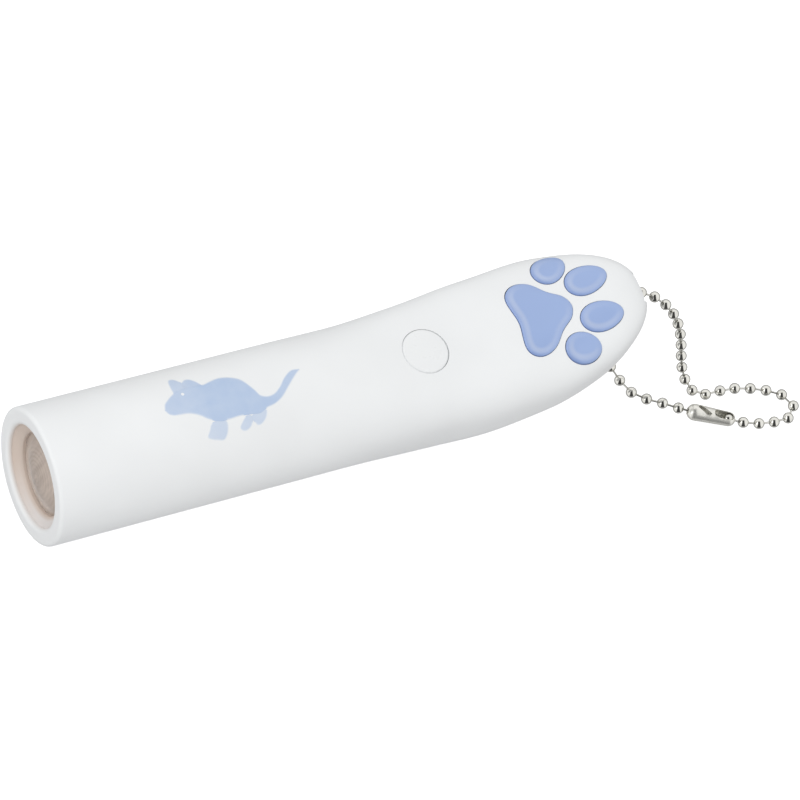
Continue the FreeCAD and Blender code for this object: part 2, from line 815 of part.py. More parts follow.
def screw(name, length):
    """Screw with its head below the seat at Z = 0 and its shank above."""
    blank = turned(name + "_blank", [
        ("0", "-dim.head_height"),
        ("dim.head_radius", "-dim.head_height"),
        ("dim.head_radius", "0"),
        ("dim.screw_radius", "0"),
        ("dim.screw_radius", length + " - dim.screw_radius / 2"),
        ("dim.screw_radius / 2", length),
        ("0", length),
    ], "V_Axis")
    slots = []
    for tag, wide, deep in (("long", "dim.driver_slot_length", "dim.driver_slot_width"),
                            ("cross", "dim.driver_slot_width", "dim.driver_slot_length")):
        slots.append(box(
            name + "_" + tag,
            ("-(%s) / 2" % wide, "-(%s) / 2" % deep, "-dim.head_height - 1"),
            (wide, deep, "1 + dim.driver_slot_depth")))
    return cut(name, blank, *slots)


finish(screw("cover_screw", "dim.cover_screw_length"), "cover_screw",
       "dim.cover_screw_x", "0", "-dim.cover_head_drop")
case_pair = []
for tag in ("front", "rear"):
    one = screw(tag + "_case_screw", "dim.case_screw_length")
    case_pair.append(place(one, "dim.%s_screw_x" % tag, "0", "dim.%s_head_seat" % tag))
finish(group("case_screw_pair", case_pair), "case_screws")


# Front ring, lens tube, lens and the projector parts, all turned about X

bezel = turned("front_bezel_body", [
    ("0", "dim.mouth_radius"),
    ("0", "dim.tube_radius"),
    ("dim.bezel_depth", "dim.tube_radius"),
    ("dim.bezel_depth", "dim.mouth_radius"),
])
rounded_edges(bezel, "bezel_outer_round", "dim.bezel_round",
              lambda ring: ring.Center.x < 0.1 and ring.Radius > size("tube_radius") - 0.1)
rounded_edges(bezel, "bezel_mouth_round", "dim.mouth_round",
              lambda ring: ring.Center.x < 0.1 and ring.Radius < size("mouth_radius") + 0.1)
doc.recompute()
bezel_flat = box(
    "bezel_under",
    ("-1", "-dim.tube_radius", "-2 * dim.tube_radius"),
    ("dim.bezel_depth + 2", "2 * dim.tube_radius", "dim.tube_radius + dim.belly_flat"))
finish(cut("front_bezel_cut", bezel, bezel_flat), "front_bezel")

shell_bore = "(dim.tube_radius - dim.wall)"
lens_front = "(dim.ring_x + dim.ring_thickness)"
lens_rear = "(dim.ring_x + dim.ring_thickness + dim.lens_edge)"
finish(turned("lens_tube_body", [
    ("dim.bezel_depth", "dim.mouth_radius"),
    ("dim.bezel_depth", shell_bore + " - dim.slip"),
    ("dim.tube_step_x", shell_bore + " - dim.slip"),
    ("dim.tube_step_x", "dim.barrel_radius"),
    ("dim.barrel_end_x", "dim.barrel_radius"),
    ("dim.barrel_end_x", "dim.slide_radius + dim.slip / 2"),
    ("dim.slide_x", "dim.slide_radius + dim.slip / 2"),
    ("dim.slide_x", "dim.slide_window_radius"),
    (lens_rear, "dim.ring_hole_radius"),
    (lens_rear, "dim.lens_radius + dim.slip"),
    (lens_front, "dim.lens_radius + dim.slip"),
    (lens_front, "dim.mouth_radius"),
]), "lens_tube")

finish(turned("lens_ring_body", [
    ("dim.mouth_round", "dim.mouth_radius - 2 * dim.slip"),
    ("dim.mouth_round", "dim.mouth_radius - dim.slip"),
    (lens_front, "dim.mouth_radius - dim.slip"),
    (lens_front, "dim.ring_hole_radius"),
    ("dim.ring_x", "dim.ring_hole_radius"),
]), "lens_ring")

lens_edge = rod("lens_edge", "dim.lens_radius", "dim.lens_edge", (lens_front, "0", "0"),
                Vector(1, 0, 0))
lens_bowl = dome("lens_bowl", "dim.ring_hole_radius - dim.slip", "dim.lens_bulge",
                 (lens_front, "0", "0"), Vector(-1, 0, 0))
finish(fuse("front_lens_solid", lens_edge, lens_bowl), "front_lens")

finish(turned("motif_slide_body", [
    ("dim.slide_x", "0"),
    ("dim.slide_x", "dim.slide_radius"),
    ("dim.slide_x + dim.slide_thickness", "dim.slide_radius"),
    ("dim.slide_x + dim.slide_thickness", "0"),
]), "motif_slide")

condenser_x = "(dim.slide_x + dim.slide_thickness)"
dome_x = "(%s + dim.condenser_edge)" % condenser_x
holder_x = "(%s + dim.condenser_bulge)" % dome_x
dome_rim = "(dim.slide_radius - dim.condenser_edge)"
condenser_edge = rod("condenser_edge_rod", "dim.slide_radius", "dim.condenser_edge",
                     (condenser_x, "0", "0"), Vector(1, 0, 0))
condenser_dome = dome("condenser_dome", dome_rim, "dim.condenser_bulge", (dome_x, "0", "0"),
                      Vector(1, 0, 0))
finish(fuse("condenser_solid", condenser_edge, condenser_dome), "condenser_lens")

holder_end = "dim.holder_end_x"
led_seat = "(%s - dim.lead_width * 2)" % holder_end
led_bore = "dim.led_radius + dim.slip / 2"
finish(turned("led_holder_body", [
    (dome_x, dome_rim + " + dim.slip"),
    (dome_x, "dim.slide_radius"),
    (holder_end, "dim.slide_radius"),
    (holder_end, "dim.led_flange_radius + dim.slip / 2"),
    (led_seat, "dim.led_flange_radius + dim.slip / 2"),
    (led_seat, led_bore),
    (holder_x + " + dim.slip", led_bore),
    (holder_x + " + dim.slip", dome_rim + " + dim.slip"),
]), "led_holder")


# LED: domed body, flange and two leads bent up into the board

led_start = "(%s - dim.led_length + dim.led_radius)" % holder_end
leads = []
for tag, y in (("near", "-(dim.lead_spacing + dim.lead_width) / 2"),
               ("far", "(dim.lead_spacing - dim.lead_width) / 2")):
    leads.append(box(
        "led_lead_" + tag,
        (holder_end, y, "-dim.lead_width / 2"),
        ("dim.lead_x - %s + dim.lead_width" % holder_end, "dim.lead_width", "dim.lead_width")))
    leads.append(box(
        "led_rise_" + tag,
        ("dim.lead_x", y, "-dim.lead_width / 2"),
        ("dim.lead_width", "dim.lead_width", board_top + " + dim.lead_width")))
finish(fuse(
    "led_solid",
    rod("led_rod", "dim.led_radius", "dim.led_length - dim.led_radius", (led_start, "0", "0"),
        Vector(1, 0, 0)),
    dome("led_dome", "dim.led_radius", "dim.led_radius", (led_start, "0", "0"),
         Vector(-1, 0, 0)),
    rod("led_flange", "dim.led_flange_radius", "2 * dim.lead_width", (led_seat, "0", "0"),
        Vector(1, 0, 0)),
    *leads), "led")


# Circuit board with a hole for the shell's boss and slots for leads and contacts

board = plate("circuit_board_body", "XY_Plane", [
    ("dim.board_front_x", "-dim.board_half_width"),
    ("dim.board_rear_x", "-dim.board_half_width"),
    ("dim.board_rear_x", "dim.board_half_width"),
    ("dim.board_front_x", "dim.board_half_width"),
], "dim.board_thickness")
holes = new_sketch(board, "board_holes", "XY_Plane")
add_circle(holes, "dim.front_screw_x", "0", "dim.case_boss_radius + 2 * dim.cover_gap")
for sign in ("-", ""):
    add_circle(holes, "dim.lead_x + dim.lead_width / 2", sign + "dim.lead_spacing / 2",
               "dim.lead_width")
    add_circle(holes, "dim.resistor_x " + (sign or "+") + " dim.resistor_span / 2", "0",
               "dim.lead_width")
tab_clear = "dim.slip / 2"
rear_contact_x = "dim.rear_contact_x"
front_contact_x = "(dim.cell_front_x - dim.contact_thickness)"
for start in (front_contact_x, rear_contact_x):
    low_x = "%s - %s" % (start, tab_clear)
    high_x = "%s + dim.contact_thickness + %s" % (start, tab_clear)
    half = "dim.contact_tab_half_width + " + tab_clear
    add_outline(holes, [
        (low_x, "-(%s)" % half),
        (high_x, "-(%s)" % half),
        (high_x, half),
        (low_x, half),
    ])
drill = board.newObject("PartDesign::Pocket", "board_drill")
drill.Profile = holes
drill.Type = "ThroughAll"
drill.Reversed = True
finish(board, "circuit_board", "0", "0", "dim.board_bottom")


# Resistor lying across the board between its bent leads

resistor_z = board_top + " + dim.resistor_radius"
resistor_ends = []
for tag, x in (("front", "dim.resistor_x - dim.resistor_span / 2"),
               ("rear", "dim.resistor_x + dim.resistor_span / 2")):
    resistor_ends.append(rod("resistor_leg_" + tag, "dim.lead_width / 2",
                             "dim.board_thickness + dim.resistor_radius + dim.lead_width / 4",
                             (x, "0", "dim.board_bottom")))
finish(fuse(
    "resistor_solid",
    rod("resistor_rod", "dim.resistor_radius", "dim.resistor_length",
        ("dim.resistor_x - dim.resistor_length / 2", "0", resistor_z), Vector(1, 0, 0)),
    rod("resistor_lead", "dim.lead_width / 2", "dim.resistor_span",
        ("dim.resistor_x - dim.resistor_span / 2", "0", resistor_z), Vector(1, 0, 0)),
    *resistor_ends), "resistor")


# Tact switch and its plunger

switch_top = "(%s + dim.switch_height)" % board_top
switch_block = box(
    "switch_block",
    ("dim.button_x - dim.switch_side / 2", "-dim.switch_side / 2", board_top),
    ("dim.switch_side", "dim.switch_side", "dim.switch_height"))
legs = []
for count, (x_sign, y_sign) in enumerate(((-1, -1), (-1, 1), (1, -1), (1, 1))):
    legs.append(box(
        "switch_leg_%d" % count,
        ("dim.button_x + %d * dim.switch_side / 3 - dim.lead_width / 2" % x_sign,
         "%d * (dim.switch_side / 2 + dim.lead_width / 2) - dim.lead_width" % y_sign,
         board_top),
        ("dim.lead_width", "2 * dim.lead_width", "dim.lead_width / 2")))
switch_well = rod("switch_well", "dim.plunger_radius + dim.slip", "dim.plunger_well + 1",
                  ("dim.button_x", "0", switch_top + " - dim.plunger_well"))
finish(cut("switch_body_cut", fuse("switch_with_legs", switch_block, *legs), switch_well),
       "switch_body")
finish(rod("switch_plunger_rod", "dim.plunger_radius", "dim.plunger_depth + dim.plunger_reach",
           ("0", "0", "0")),
       "switch_plunger", "dim.button_x", "0", switch_top + " - dim.plunger_depth")


# Push button: a low dome over a flange that the shell holds in

stem_low = "(%s + dim.plunger_reach)" % switch_top
flange_top = "(%s - dim.button_flange_drop)" % button_top
cap_top = "(%s - dim.button_edge_drop)" % button_top
finish(fuse(
    "push_button_solid",
    rod("button_cap", "dim.button_radius", "%s - %s" % (cap_top, flange_top),
        ("dim.button_x", "0", flange_top)),
    dome("button_dome", "dim.button_radius", "dim.button_crown",
         ("dim.button_x", "0", cap_top)),
    rod("button_flange", "dim.button_flange_radius", "dim.button_flange_thickness",
        ("dim.button_x", "0", flange_top + " - dim.button_flange_thickness")),
    rod("button_stem", "dim.button_stem_radius", "%s - %s" % (flange_top, stem_low),
        ("dim.button_x", "0", stem_low))), "push_button")


# Three button cells, each a can with a smaller cap, and their contacts

for count, label in enumerate(("cell_front", "cell_middle", "cell_rear")):
    finish(turned(label + "_body", [
        ("0", "0"),
        ("0", "dim.cell_radius - 2 * dim.contact_thickness"),
        ("dim.contact_thickness", "dim.cell_radius - 2 * dim.contact_thickness"),
        ("dim.contact_thickness", "dim.cell_radius"),
        ("dim.cell_length", "dim.cell_radius"),
        ("dim.cell_length", "0"),
    ]), label, "dim.cell_front_x + %d * dim.cell_length" % count, "0", "-dim.cell_drop")


def contact(label, x):
    """Bent-up sheet contact: a broad blade with a tab that passes through the board."""
    body = plate(label + "_body", "YZ_Plane", [
        ("-dim.contact_half_width", "-dim.contact_drop"),
        ("dim.contact_half_width", "-dim.contact_drop"),
        ("dim.contact_half_width", "dim.board_bottom"),
        ("dim.contact_tab_half_width", "dim.board_bottom"),
        ("dim.contact_tab_half_width", board_top + " + dim.lead_width"),
        ("-dim.contact_tab_half_width", board_top + " + dim.lead_width"),
        ("-dim.contact_tab_half_width", "dim.board_bottom"),
        ("-dim.contact_half_width", "dim.board_bottom"),
    ], "dim.contact_thickness")
    finish(body, label, x)


contact("positive_contact", front_contact_x)
contact("negative_contact", rear_contact_x)


def spring_shape():
    """Round wire along a helix about X, from the last cell to the rear contact."""
    wire_radius = size("spring_wire_radius")
    reach = size("spring_length") - 2 * wire_radius - 2 * size("slip")
    coil = Part.makeHelix(reach / size("spring_turns"), reach, size("spring_radius"))
    ring = Part.Circle(Vector(size("spring_radius"), 0, 0), Vector(0, 1, 0), wire_radius)
    coil_wire = Part.Wire(coil.Edges)
    body = coil_wire.makePipeShell([Part.Wire([ring.toShape()])], True, True)
    body.Placement = Placement(Vector(0, 0, 0), Rotation(Vector(0, 1, 0), 90))
    return body


finish(solid("battery_spring_coil", spring_shape()), "battery_spring",
       "dim.cell_front_x + 3 * dim.cell_length + dim.spring_wire_radius + dim.slip", "0",
       "-dim.cell_drop")


# Ball chain. Its route starts at the narrow end of the clasp, lies in a narrow loop on the
# resting surface, climbs to the tip, turns round the lanyard pin and comes back under the
# tail to the wide end of the clasp. The points were chosen by hand.

floor = size("belly_flat") - size("tube_radius")
bead_rest = floor + size("bead_radius")
narrow_end = Vector(131.6, -18.8, floor + size("clasp_narrow_radius"))
wide_end = Vector(125.9, -16.0, floor + size("clasp_wide_radius"))
pin_middle = Vector(size("pin_x"), 0, size("pin_height"))
turn_radius = size("pin_radius") + size("bead_radius") + 2 * size("slip")


def round_pin(degrees):
    """Point of the chain's line round the lanyard pin, at an angle above +X."""
    angle = math.radians(degrees)
    return pin_middle + Vector(math.cos(angle), 0, math.sin(angle)) * turn_radius


CHAIN_ROUTE = [
    narrow_end,
    Vector(134.4, -20.1, bead_rest),
    Vector(137.7, -21.2, bead_rest),
    Vector(140.8, -21.6, bead_rest),
    Vector(143.4, -21.4, bead_rest),
    Vector(145.0, -20.0, bead_rest),
    Vector(144.5, -17.6, bead_rest),
    Vector(142.5, -16.0, bead_rest),
    Vector(139.9, -14.7, bead_rest),
    Vector(137.0, -13.8, bead_rest),
    Vector(134.2, -13.2, bead_rest),
    Vector(131.4, -13.2, bead_rest),
    Vector(128.6, -12.8, bead_rest),
    Vector(126.2, -11.0, -8.8),
    Vector(124.6, -8.7, -5.0),
    Vector(123.3, -6.8, 0.2),
    Vector(121.4, -4.8, 5.6),
    Vector(118.6, -2.8, 9.6),
    Vector(115.6, -1.0, 11.6),
    Vector(112.2, 0, 12.6),
    round_pin(90),
    round_pin(135),
    round_pin(180),
    round_pin(212),
    Vector(108.6, 0, 4.6),
    Vector(110.2, -0.2, 0.2),
    Vector(112.0, -1.0, -4.8),
    Vector(113.6, -2.6, -9.0),
    Vector(114.8, -5.2, bead_rest),
    Vector(115.6, -8.0, bead_rest),
    Vector(117.2, -10.2, bead_rest),
    Vector(119.6, -11.7, bead_rest),
    Vector(122.4, -13.5, bead_rest),
    wide_end,
]


def chain_centres():
    """Bead centres at equal steps along a smooth curve through the route."""
    line = Part.BSplineCurve()
    line.interpolate(CHAIN_ROUTE)
    steps = round(line.length() / size("bead_pitch"))
    centres = []
    for spot in line.toShape().discretize(Number=steps + 1):
        centres.append(Vector(spot.x, spot.y, max(spot.z, bead_rest)))
    return centres


def bead(centre, neighbours):
    """Hollow ball with a hole towards each neighbour."""
    outer = Part.makeSphere(size("bead_radius"), centre)
    shell = outer.cut(Part.makeSphere(size("bead_radius") - size("bead_wall"), centre))
    for other in neighbours:
        way = (other - centre).normalize()
        shell = shell.cut(Part.makeCylinder(size("bead_hole_radius"), size("bead_radius") + 0.5,
                                            centre, way))
    return shell


def link(start, end):
    """Wire between two beads with a knob inside each."""
    way = (end - start).normalize()
    knob_depth = size("bead_radius") - size("bead_wall") - size("link_knob_radius") - 0.04
    first = start + way * knob_depth
    last = end - way * knob_depth
    wire = Part.makeCylinder(size("link_radius"), (last - first).Length, first, way)
    knobs = [Part.makeSphere(size("link_knob_radius"), spot) for spot in (first, last)]
    return wire.multiFuse(knobs)


centres = chain_centres()
beads = []
for index, centre in enumerate(centres):
    neighbours = [centres[other] for other in (index - 1, index + 1) if 0 <= other < len(centres)]
    beads.append(bead(centre, neighbours))
finish(solid("chain_beads_shape", Part.makeCompound(beads)), "chain_beads")
links = [link(start, end) for start, end in zip(centres, centres[1:])]
finish(solid("chain_links_shape", Part.makeCompound(links)), "chain_links")


def on_ball(middle, radius, angle):
    """Point in the XZ plane on a circle about a middle on the X axis."""
    return Vector(middle + radius * math.cos(angle), 0, radius * math.sin(angle))


def ball_arc(middle, radius, start, end):
    spots = [on_ball(middle, radius, angle) for angle in (start, (start + end) / 2, end)]
    return Part.Arc(*spots).toShape()


def teardrop(length):
    """Hollow teardrop turned about X: a wide ball at 0 and a narrow one at the length, joined
    by their common cone, each with a hole for the chain in its end."""
    wide = size("clasp_wide_radius")
    narrow = size("clasp_narrow_radius")
    sheet = size("clasp_sheet")
    lean = math.acos((wide - narrow) / length)
    start = math.pi - math.asin(size("clasp_hole_radius") / wide)
    end = math.asin(size("clasp_hole_radius") / narrow)
    edges = [
        ball_arc(0, wide, start, lean),
        Part.LineSegment(on_ball(0, wide, lean), on_ball(length, narrow, lean)).toShape(),
        ball_arc(length, narrow, lean, end),
        Part.LineSegment(on_ball(length, narrow, end),
                         on_ball(length, narrow - sheet, end)).toShape(),
        ball_arc(length, narrow - sheet, end, lean),
        Part.LineSegment(on_ball(length, narrow - sheet, lean),
                         on_ball(0, wide - sheet, lean)).toShape(),
        ball_arc(0, wide - sheet, lean, start),
        Part.LineSegment(on_ball(0, wide - sheet, start), on_ball(0, wide, start)).toShape(),
    ]
    return Part.Face(Part.Wire(edges)).revolve(Vector(), Vector(1, 0, 0), 360)


def clasp_shape():
    """Pressed sheet coupling: the teardrop with a slanted slot across its wide end and a long
    window over the bead in its narrow end."""
    way = narrow_end - wide_end
    tall = 2 * size("clasp_wide_radius")
    long = size("clasp_slot_length")
    wide = size("clasp_slot_width")
    slot = Part.makeBox(long, wide, tall, Vector(-long / 2, -wide / 2, 0))
    slot.Placement = Placement(Vector(size("clasp_slot_step"), 0, 0),
                               Rotation(Vector(0, 0, 1), -size("clasp_slot_angle")))
    window_start = way.Length - size("clasp_window_length")
    wide = size("clasp_window_width")
    window = Part.makeBox(size("clasp_window_length"), wide, tall,
                          Vector(window_start, -wide / 2, 0))
    window = window.multiFuse([
        Part.makeCylinder(wide / 2, tall, Vector(window_start, 0, 0)),
        Part.makeCylinder(wide / 2, tall, Vector(way.Length, 0, 0))]).removeSplitter()
    clasp = teardrop(way.Length).cut([slot, window])
    pose = Placement(wide_end, Rotation(Vector(1, 0, 0), way))
    return clasp.transformed(pose.toMatrix(), True)


finish(solid("chain_clasp_shape", clasp_shape()), "chain_clasp")


doc.recompute()
faults = [item.Name for item in doc.Objects if {"Invalid", "Error"} & set(item.State)]
if faults:
    raise RuntimeError("objects in error: " + ", ".join(faults))
for node in nodes:
    if node.Shape.isNull() or not node.Shape.isValid():
        raise RuntimeError(node.Label + " has no valid shape")
os.makedirs("parts", exist_ok=True)
for node in nodes:
    node.Shape.exportStep(os.path.join("parts", node.Label + ".step"))
    print(node.Label, len(node.Shape.Solids), round(node.Shape.Volume, 2))
print("beads", len(centres))
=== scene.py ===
"""Looks of a hand-held LED pointer for cats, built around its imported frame.

The shapes are worked out in millimetres in the drawing's own axes: X from the front rim
towards the tail, Z from the axis of the round front. They are then moved to the frame."""

import math

import bmesh
import bpy
import numpy as np
from bpy.props import FloatProperty, FloatVectorProperty, IntProperty, PointerProperty
from mathutils import Matrix, Vector


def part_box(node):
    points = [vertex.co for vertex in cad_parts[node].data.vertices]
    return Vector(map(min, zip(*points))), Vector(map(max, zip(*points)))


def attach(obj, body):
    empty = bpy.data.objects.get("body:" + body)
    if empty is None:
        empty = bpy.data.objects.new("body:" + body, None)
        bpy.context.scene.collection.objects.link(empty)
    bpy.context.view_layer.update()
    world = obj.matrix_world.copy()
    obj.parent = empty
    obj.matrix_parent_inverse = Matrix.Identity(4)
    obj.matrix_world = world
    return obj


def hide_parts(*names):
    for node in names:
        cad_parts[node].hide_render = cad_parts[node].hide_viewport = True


bl_info = {
    "name": "Cat LED pointer",
    "version": (1, 0, 0),
    "blender": (4, 5, 0),
    "location": "3D View > Sidebar > Pointer",
    "description": "Surfaces, finishes and stage of a hand-held LED pointer for cats",
    "category": "Object",
}

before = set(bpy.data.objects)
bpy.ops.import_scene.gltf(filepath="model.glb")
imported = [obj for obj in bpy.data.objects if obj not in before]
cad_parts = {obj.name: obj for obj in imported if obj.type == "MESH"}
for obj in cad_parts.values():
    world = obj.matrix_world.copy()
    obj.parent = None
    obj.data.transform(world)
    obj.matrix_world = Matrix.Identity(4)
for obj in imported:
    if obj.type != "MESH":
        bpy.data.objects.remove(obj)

MM = 0.001

# The grip. Shapes are in millimetres here.
BODY_LENGTH = 113.5
TUBE_RADIUS = 12.0
BELLY_FLAT = 0.4
AXIS_HEIGHT = TUBE_RADIUS - BELLY_FLAT
NOSE_START = 98.4
NOSE_SHARE = 0.985
NOSE_WIDTH_POWER = 2.2
NOSE_HEIGHT_POWER = 2.65

# Rows of the grip's form: x, half width, half height, middle height, corner power
GRIP_ROWS = np.array([
    (-24.0, 12.0, 12.0, 0.0, 2.0),
    (48.0, 12.0, 12.0, 0.0, 2.0),
    (60.0, 11.76, 11.1, -0.1, 2.3),
    (71.4, 12.04, 10.12, 0.55, 2.9),
    (84.0, 12.9, 8.97, 2.17, 3.2),
    (93.6, 12.86, 8.1, 5.03, 3.2),
    (102.0, 11.5, 7.55, 7.45, 3.2),
    (BODY_LENGTH, 10.06, 8.25, 10.68, 3.2),
])

# The ring before the lens, as corners of its profile: radius, x
MOUTH_RADIUS = 8.9
FUNNEL_OUTER = MOUTH_RADIUS + 0.02
FUNNEL_PROFILE = (
    (FUNNEL_OUTER, 0.9), (7.42, 1.85), (7.31, 1.93), (7.24, 2.0), (7.2, 2.1), (7.2, 2.5),
    (FUNNEL_OUTER, 2.5), (FUNNEL_OUTER, 0.9),
)

# The button's place, and its flange and stem under the shell
BUTTON_X = 71.4
FLANGE_TOP = 8.1
FLANGE_THICKNESS = 0.6
STEM_RADIUS = 1.6

# How far the pads rise above the grip's face and reach below it, their shift along the face,
# the direction of their shaded side, and where the painted shade at the edge of that side starts
PAD_RISE = 0.35
PAD_DEPTH = 1.25
PAD_SHIFT = (0.06, 0.03)
PAD_SHADE_SIDE = (-0.8, -0.6)
PAD_SHADE_START = 0.7

# Far half of the large pad's outline from the nose to the dent, round the pad's middle
MAIN_PAD_X = 92.6
MAIN_PAD_HALF = np.array([
    (5.607, 1.75),
    (4.725, 2.66),
    (2.835, 3.99),
    (1.134, 6.09),
    (-1.72, 7.0),
    (-3.96, 5.04),
    (-3.4, 1.26),
])
MAIN_PAD_NOSE = 6.3

# Toe pads: node, middle x, middle y, length, width, turn in degrees, side
TOE_PADS = (
    ("toe_pad_outer_near", 98.05, 7.8, 6.4, 5.2, 25.0, -1),
    ("toe_pad_inner_near", 103.0, 3.6, 7.6, 5.4, 4.0, -1),
    ("toe_pad_inner_far", 103.0, 3.6, 7.6, 5.4, 4.0, 1),
    ("toe_pad_outer_far", 98.05, 7.8, 6.4, 5.2, 25.0, 1),
)
TOE_TAPER = 0.12
TOE_POINTS = 12

# The printed animal, drawn as (x, y) on the top of the grip: the edge along its back
# and the edge along its belly, each from the nose to the tip of the tail
ANIMAL_BACK = np.array([
    (21.9, 1.0), (22.3, 1.9), (23.3, 2.75), (24.4, 3.45), (25.6, 3.9), (27.2, 4.1), (29.0, 4.0),
    (30.4, 3.9), (31.7, 4.2), (33.5, 4.45), (35.4, 4.0), (36.9, 3.1), (37.9, 1.6), (38.6, 0.3),
    (39.1, -0.7), (40.0, -1.15), (41.3, -1.1), (42.8, -0.2), (44.5, 1.4), (46.3, 2.35),
    (47.6, 2.2),
])
ANIMAL_BELLY = np.array([
    (21.95, 0.55), (22.3, -0.1), (22.9, -0.45), (24.1, -0.65), (25.75, -0.86), (27.4, -1.6),
    (28.6, -2.5), (30.5, -3.3), (32.2, -3.45), (34.1, -3.35), (36.5, -3.5), (38.1, -3.65),
    (39.3, -3.2), (41.1, -2.85), (42.7, -2.1), (44.25, -0.8), (46.0, 0.7), (47.1, 1.55),
    (47.65, 1.9),
])
ANIMAL_EARS = (
    ((24.9, 3.5), (24.8, 4.6), (25.0, 5.9), (25.5, 6.75), (26.4, 6.6), (27.1, 5.6), (27.3, 4.4),
     (26.6, 3.5)),
    ((27.0, 4.0), (27.2, 5.2), (27.8, 5.85), (28.8, 5.8), (29.6, 4.9), (30.1, 3.9), (29.4, 3.3),
     (28.0, 3.3)),
)
ANIMAL_FEET = (
    ((29.1, -3.1), (28.4, -4.3), (27.6, -5.2), (28.4, -5.8), (29.7, -6.15), (30.6, -6.3),
     (31.4, -5.5), (31.8, -4.4), (31.6, -3.4)),
    ((35.3, -3.5), (34.4, -4.3), (33.7, -5.1), (34.4, -5.8), (35.5, -5.6), (36.2, -4.9),
     (36.4, -3.7)),
    ((36.4, -3.6), (36.5, -4.5), (36.9, -5.4), (37.8, -5.4), (38.7, -4.8), (39.2, -4.0),
     (39.1, -3.2)),
)
ANIMAL_EYE = (26.2, 3.0)
EYE_RADIUS = 0.28
EYE_POINTS = 16

# The ink's cover and the height of its layer, as shares of the body's
EAR_INK = (0.92, 0.8)
FOOT_INK = (0.7, 0.6)
EYE_INK = (0.1, 1.6)

# How wide the ink's soft border is, its cover at the very edge, how deep its layer is rooted in
# the grip, and by what share it thins along the tail and towards the nose, from x to x
PRINT_BLUR = 0.3
PRINT_EDGE = 0.1
PRINT_ROOT = 0.03
PRINT_FADE = 0.12
PRINT_TAIL = (41.0, 48.0)
PRINT_HEAD = (30.0, 26.0)

# Finishes, with places in metres: the depth of the mould's grain, how much the shells shine,
# the refractive index of clear plastic, where the mouth's painted light turns from pale to beige
# across the grip, where the front ring is painted beige by its radius and its depth as painted
# light of the tube through the white, where the funnel darkens, how tight the lens's rings lie,
# and the disc and ring of the slide
GRAIN_DEPTH = 0.03 * MM
SHELL_SHINE = 0.25
CLEAR_INDEX = 1.49
MOUTH_LIGHT_FADE = (-5.0 * MM, 6.0 * MM)
RIM_FADE = ((MOUTH_RADIUS + 0.9) * MM, (MOUTH_RADIUS + 0.1) * MM)
RIM_DEPTH = 1.2 * MM
FUNNEL_FADE = (8.0 * MM, 7.3 * MM)
LENS_RINGS = 9000.0
SLIDE_DISC = 1.3 * MM
SLIDE_RING = (2.4 * MM, 2.8 * MM)

# Coloured bands of the resistor: shift from its middle in millimetres, colour
RESISTOR_BANDS = (
    (-1.6, (0.35, 0.05, 0.02)),
    (-0.7, (0.02, 0.02, 0.02)),
    (0.2, (0.35, 0.15, 0.02)),
    (1.5, (0.55, 0.4, 0.08)),
)
BAND_HALF = 0.25 * MM

# The photographed camera, measured against the fitted form of the grip
CAMERA_PLACE = (-294.02, -279.34, 725.28)
CAMERA_RIGHT = (0.8762, -0.38335, 0.2921)
CAMERA_UP = (0.23052, 0.86559, 0.44454)
CAMERA_BACK = (-0.42325, -0.32217, 0.8468)

# The key light: its way along the camera's right, up and back, and its distance and size in
# metres
KEY_WAY = (-0.18, 0.15, 0.8)
KEY_DISTANCE = 0.7
KEY_SIZE = 0.35

# The room that shiny faces mirror, by how far a direction points along the camera's right, up
# and back, from -1 to 1. The softbox: its middle, and where it fades to both sides. The dark
# pillar below the camera: half its width at its top and at its foot, and where it fades. The
# dark band behind the object: how dark it is, where it starts, and how far it pales again.
SOFTBOX_ACROSS = (-0.7, 0.14, 0.24)
SOFTBOX_UP = (0.15, 0.3, 0.45)
SOFTBOX_BACK = (0.2, 0.4)
PILLAR_WIDTHS = (0.36, 0.5)
PILLAR_TOP = (0.6, 0.74)
PILLAR_SIDE = (-0.04, 0.04)
PILLAR_BACK = (-0.3, -0.2)
BAND_DEPTH = 0.62
BAND_START = (-0.5, -0.1)
BAND_REAR = (-1.0, -0.92)
BAND_REAR_SHARE = 0.4
DARK_STRENGTH = 0.06


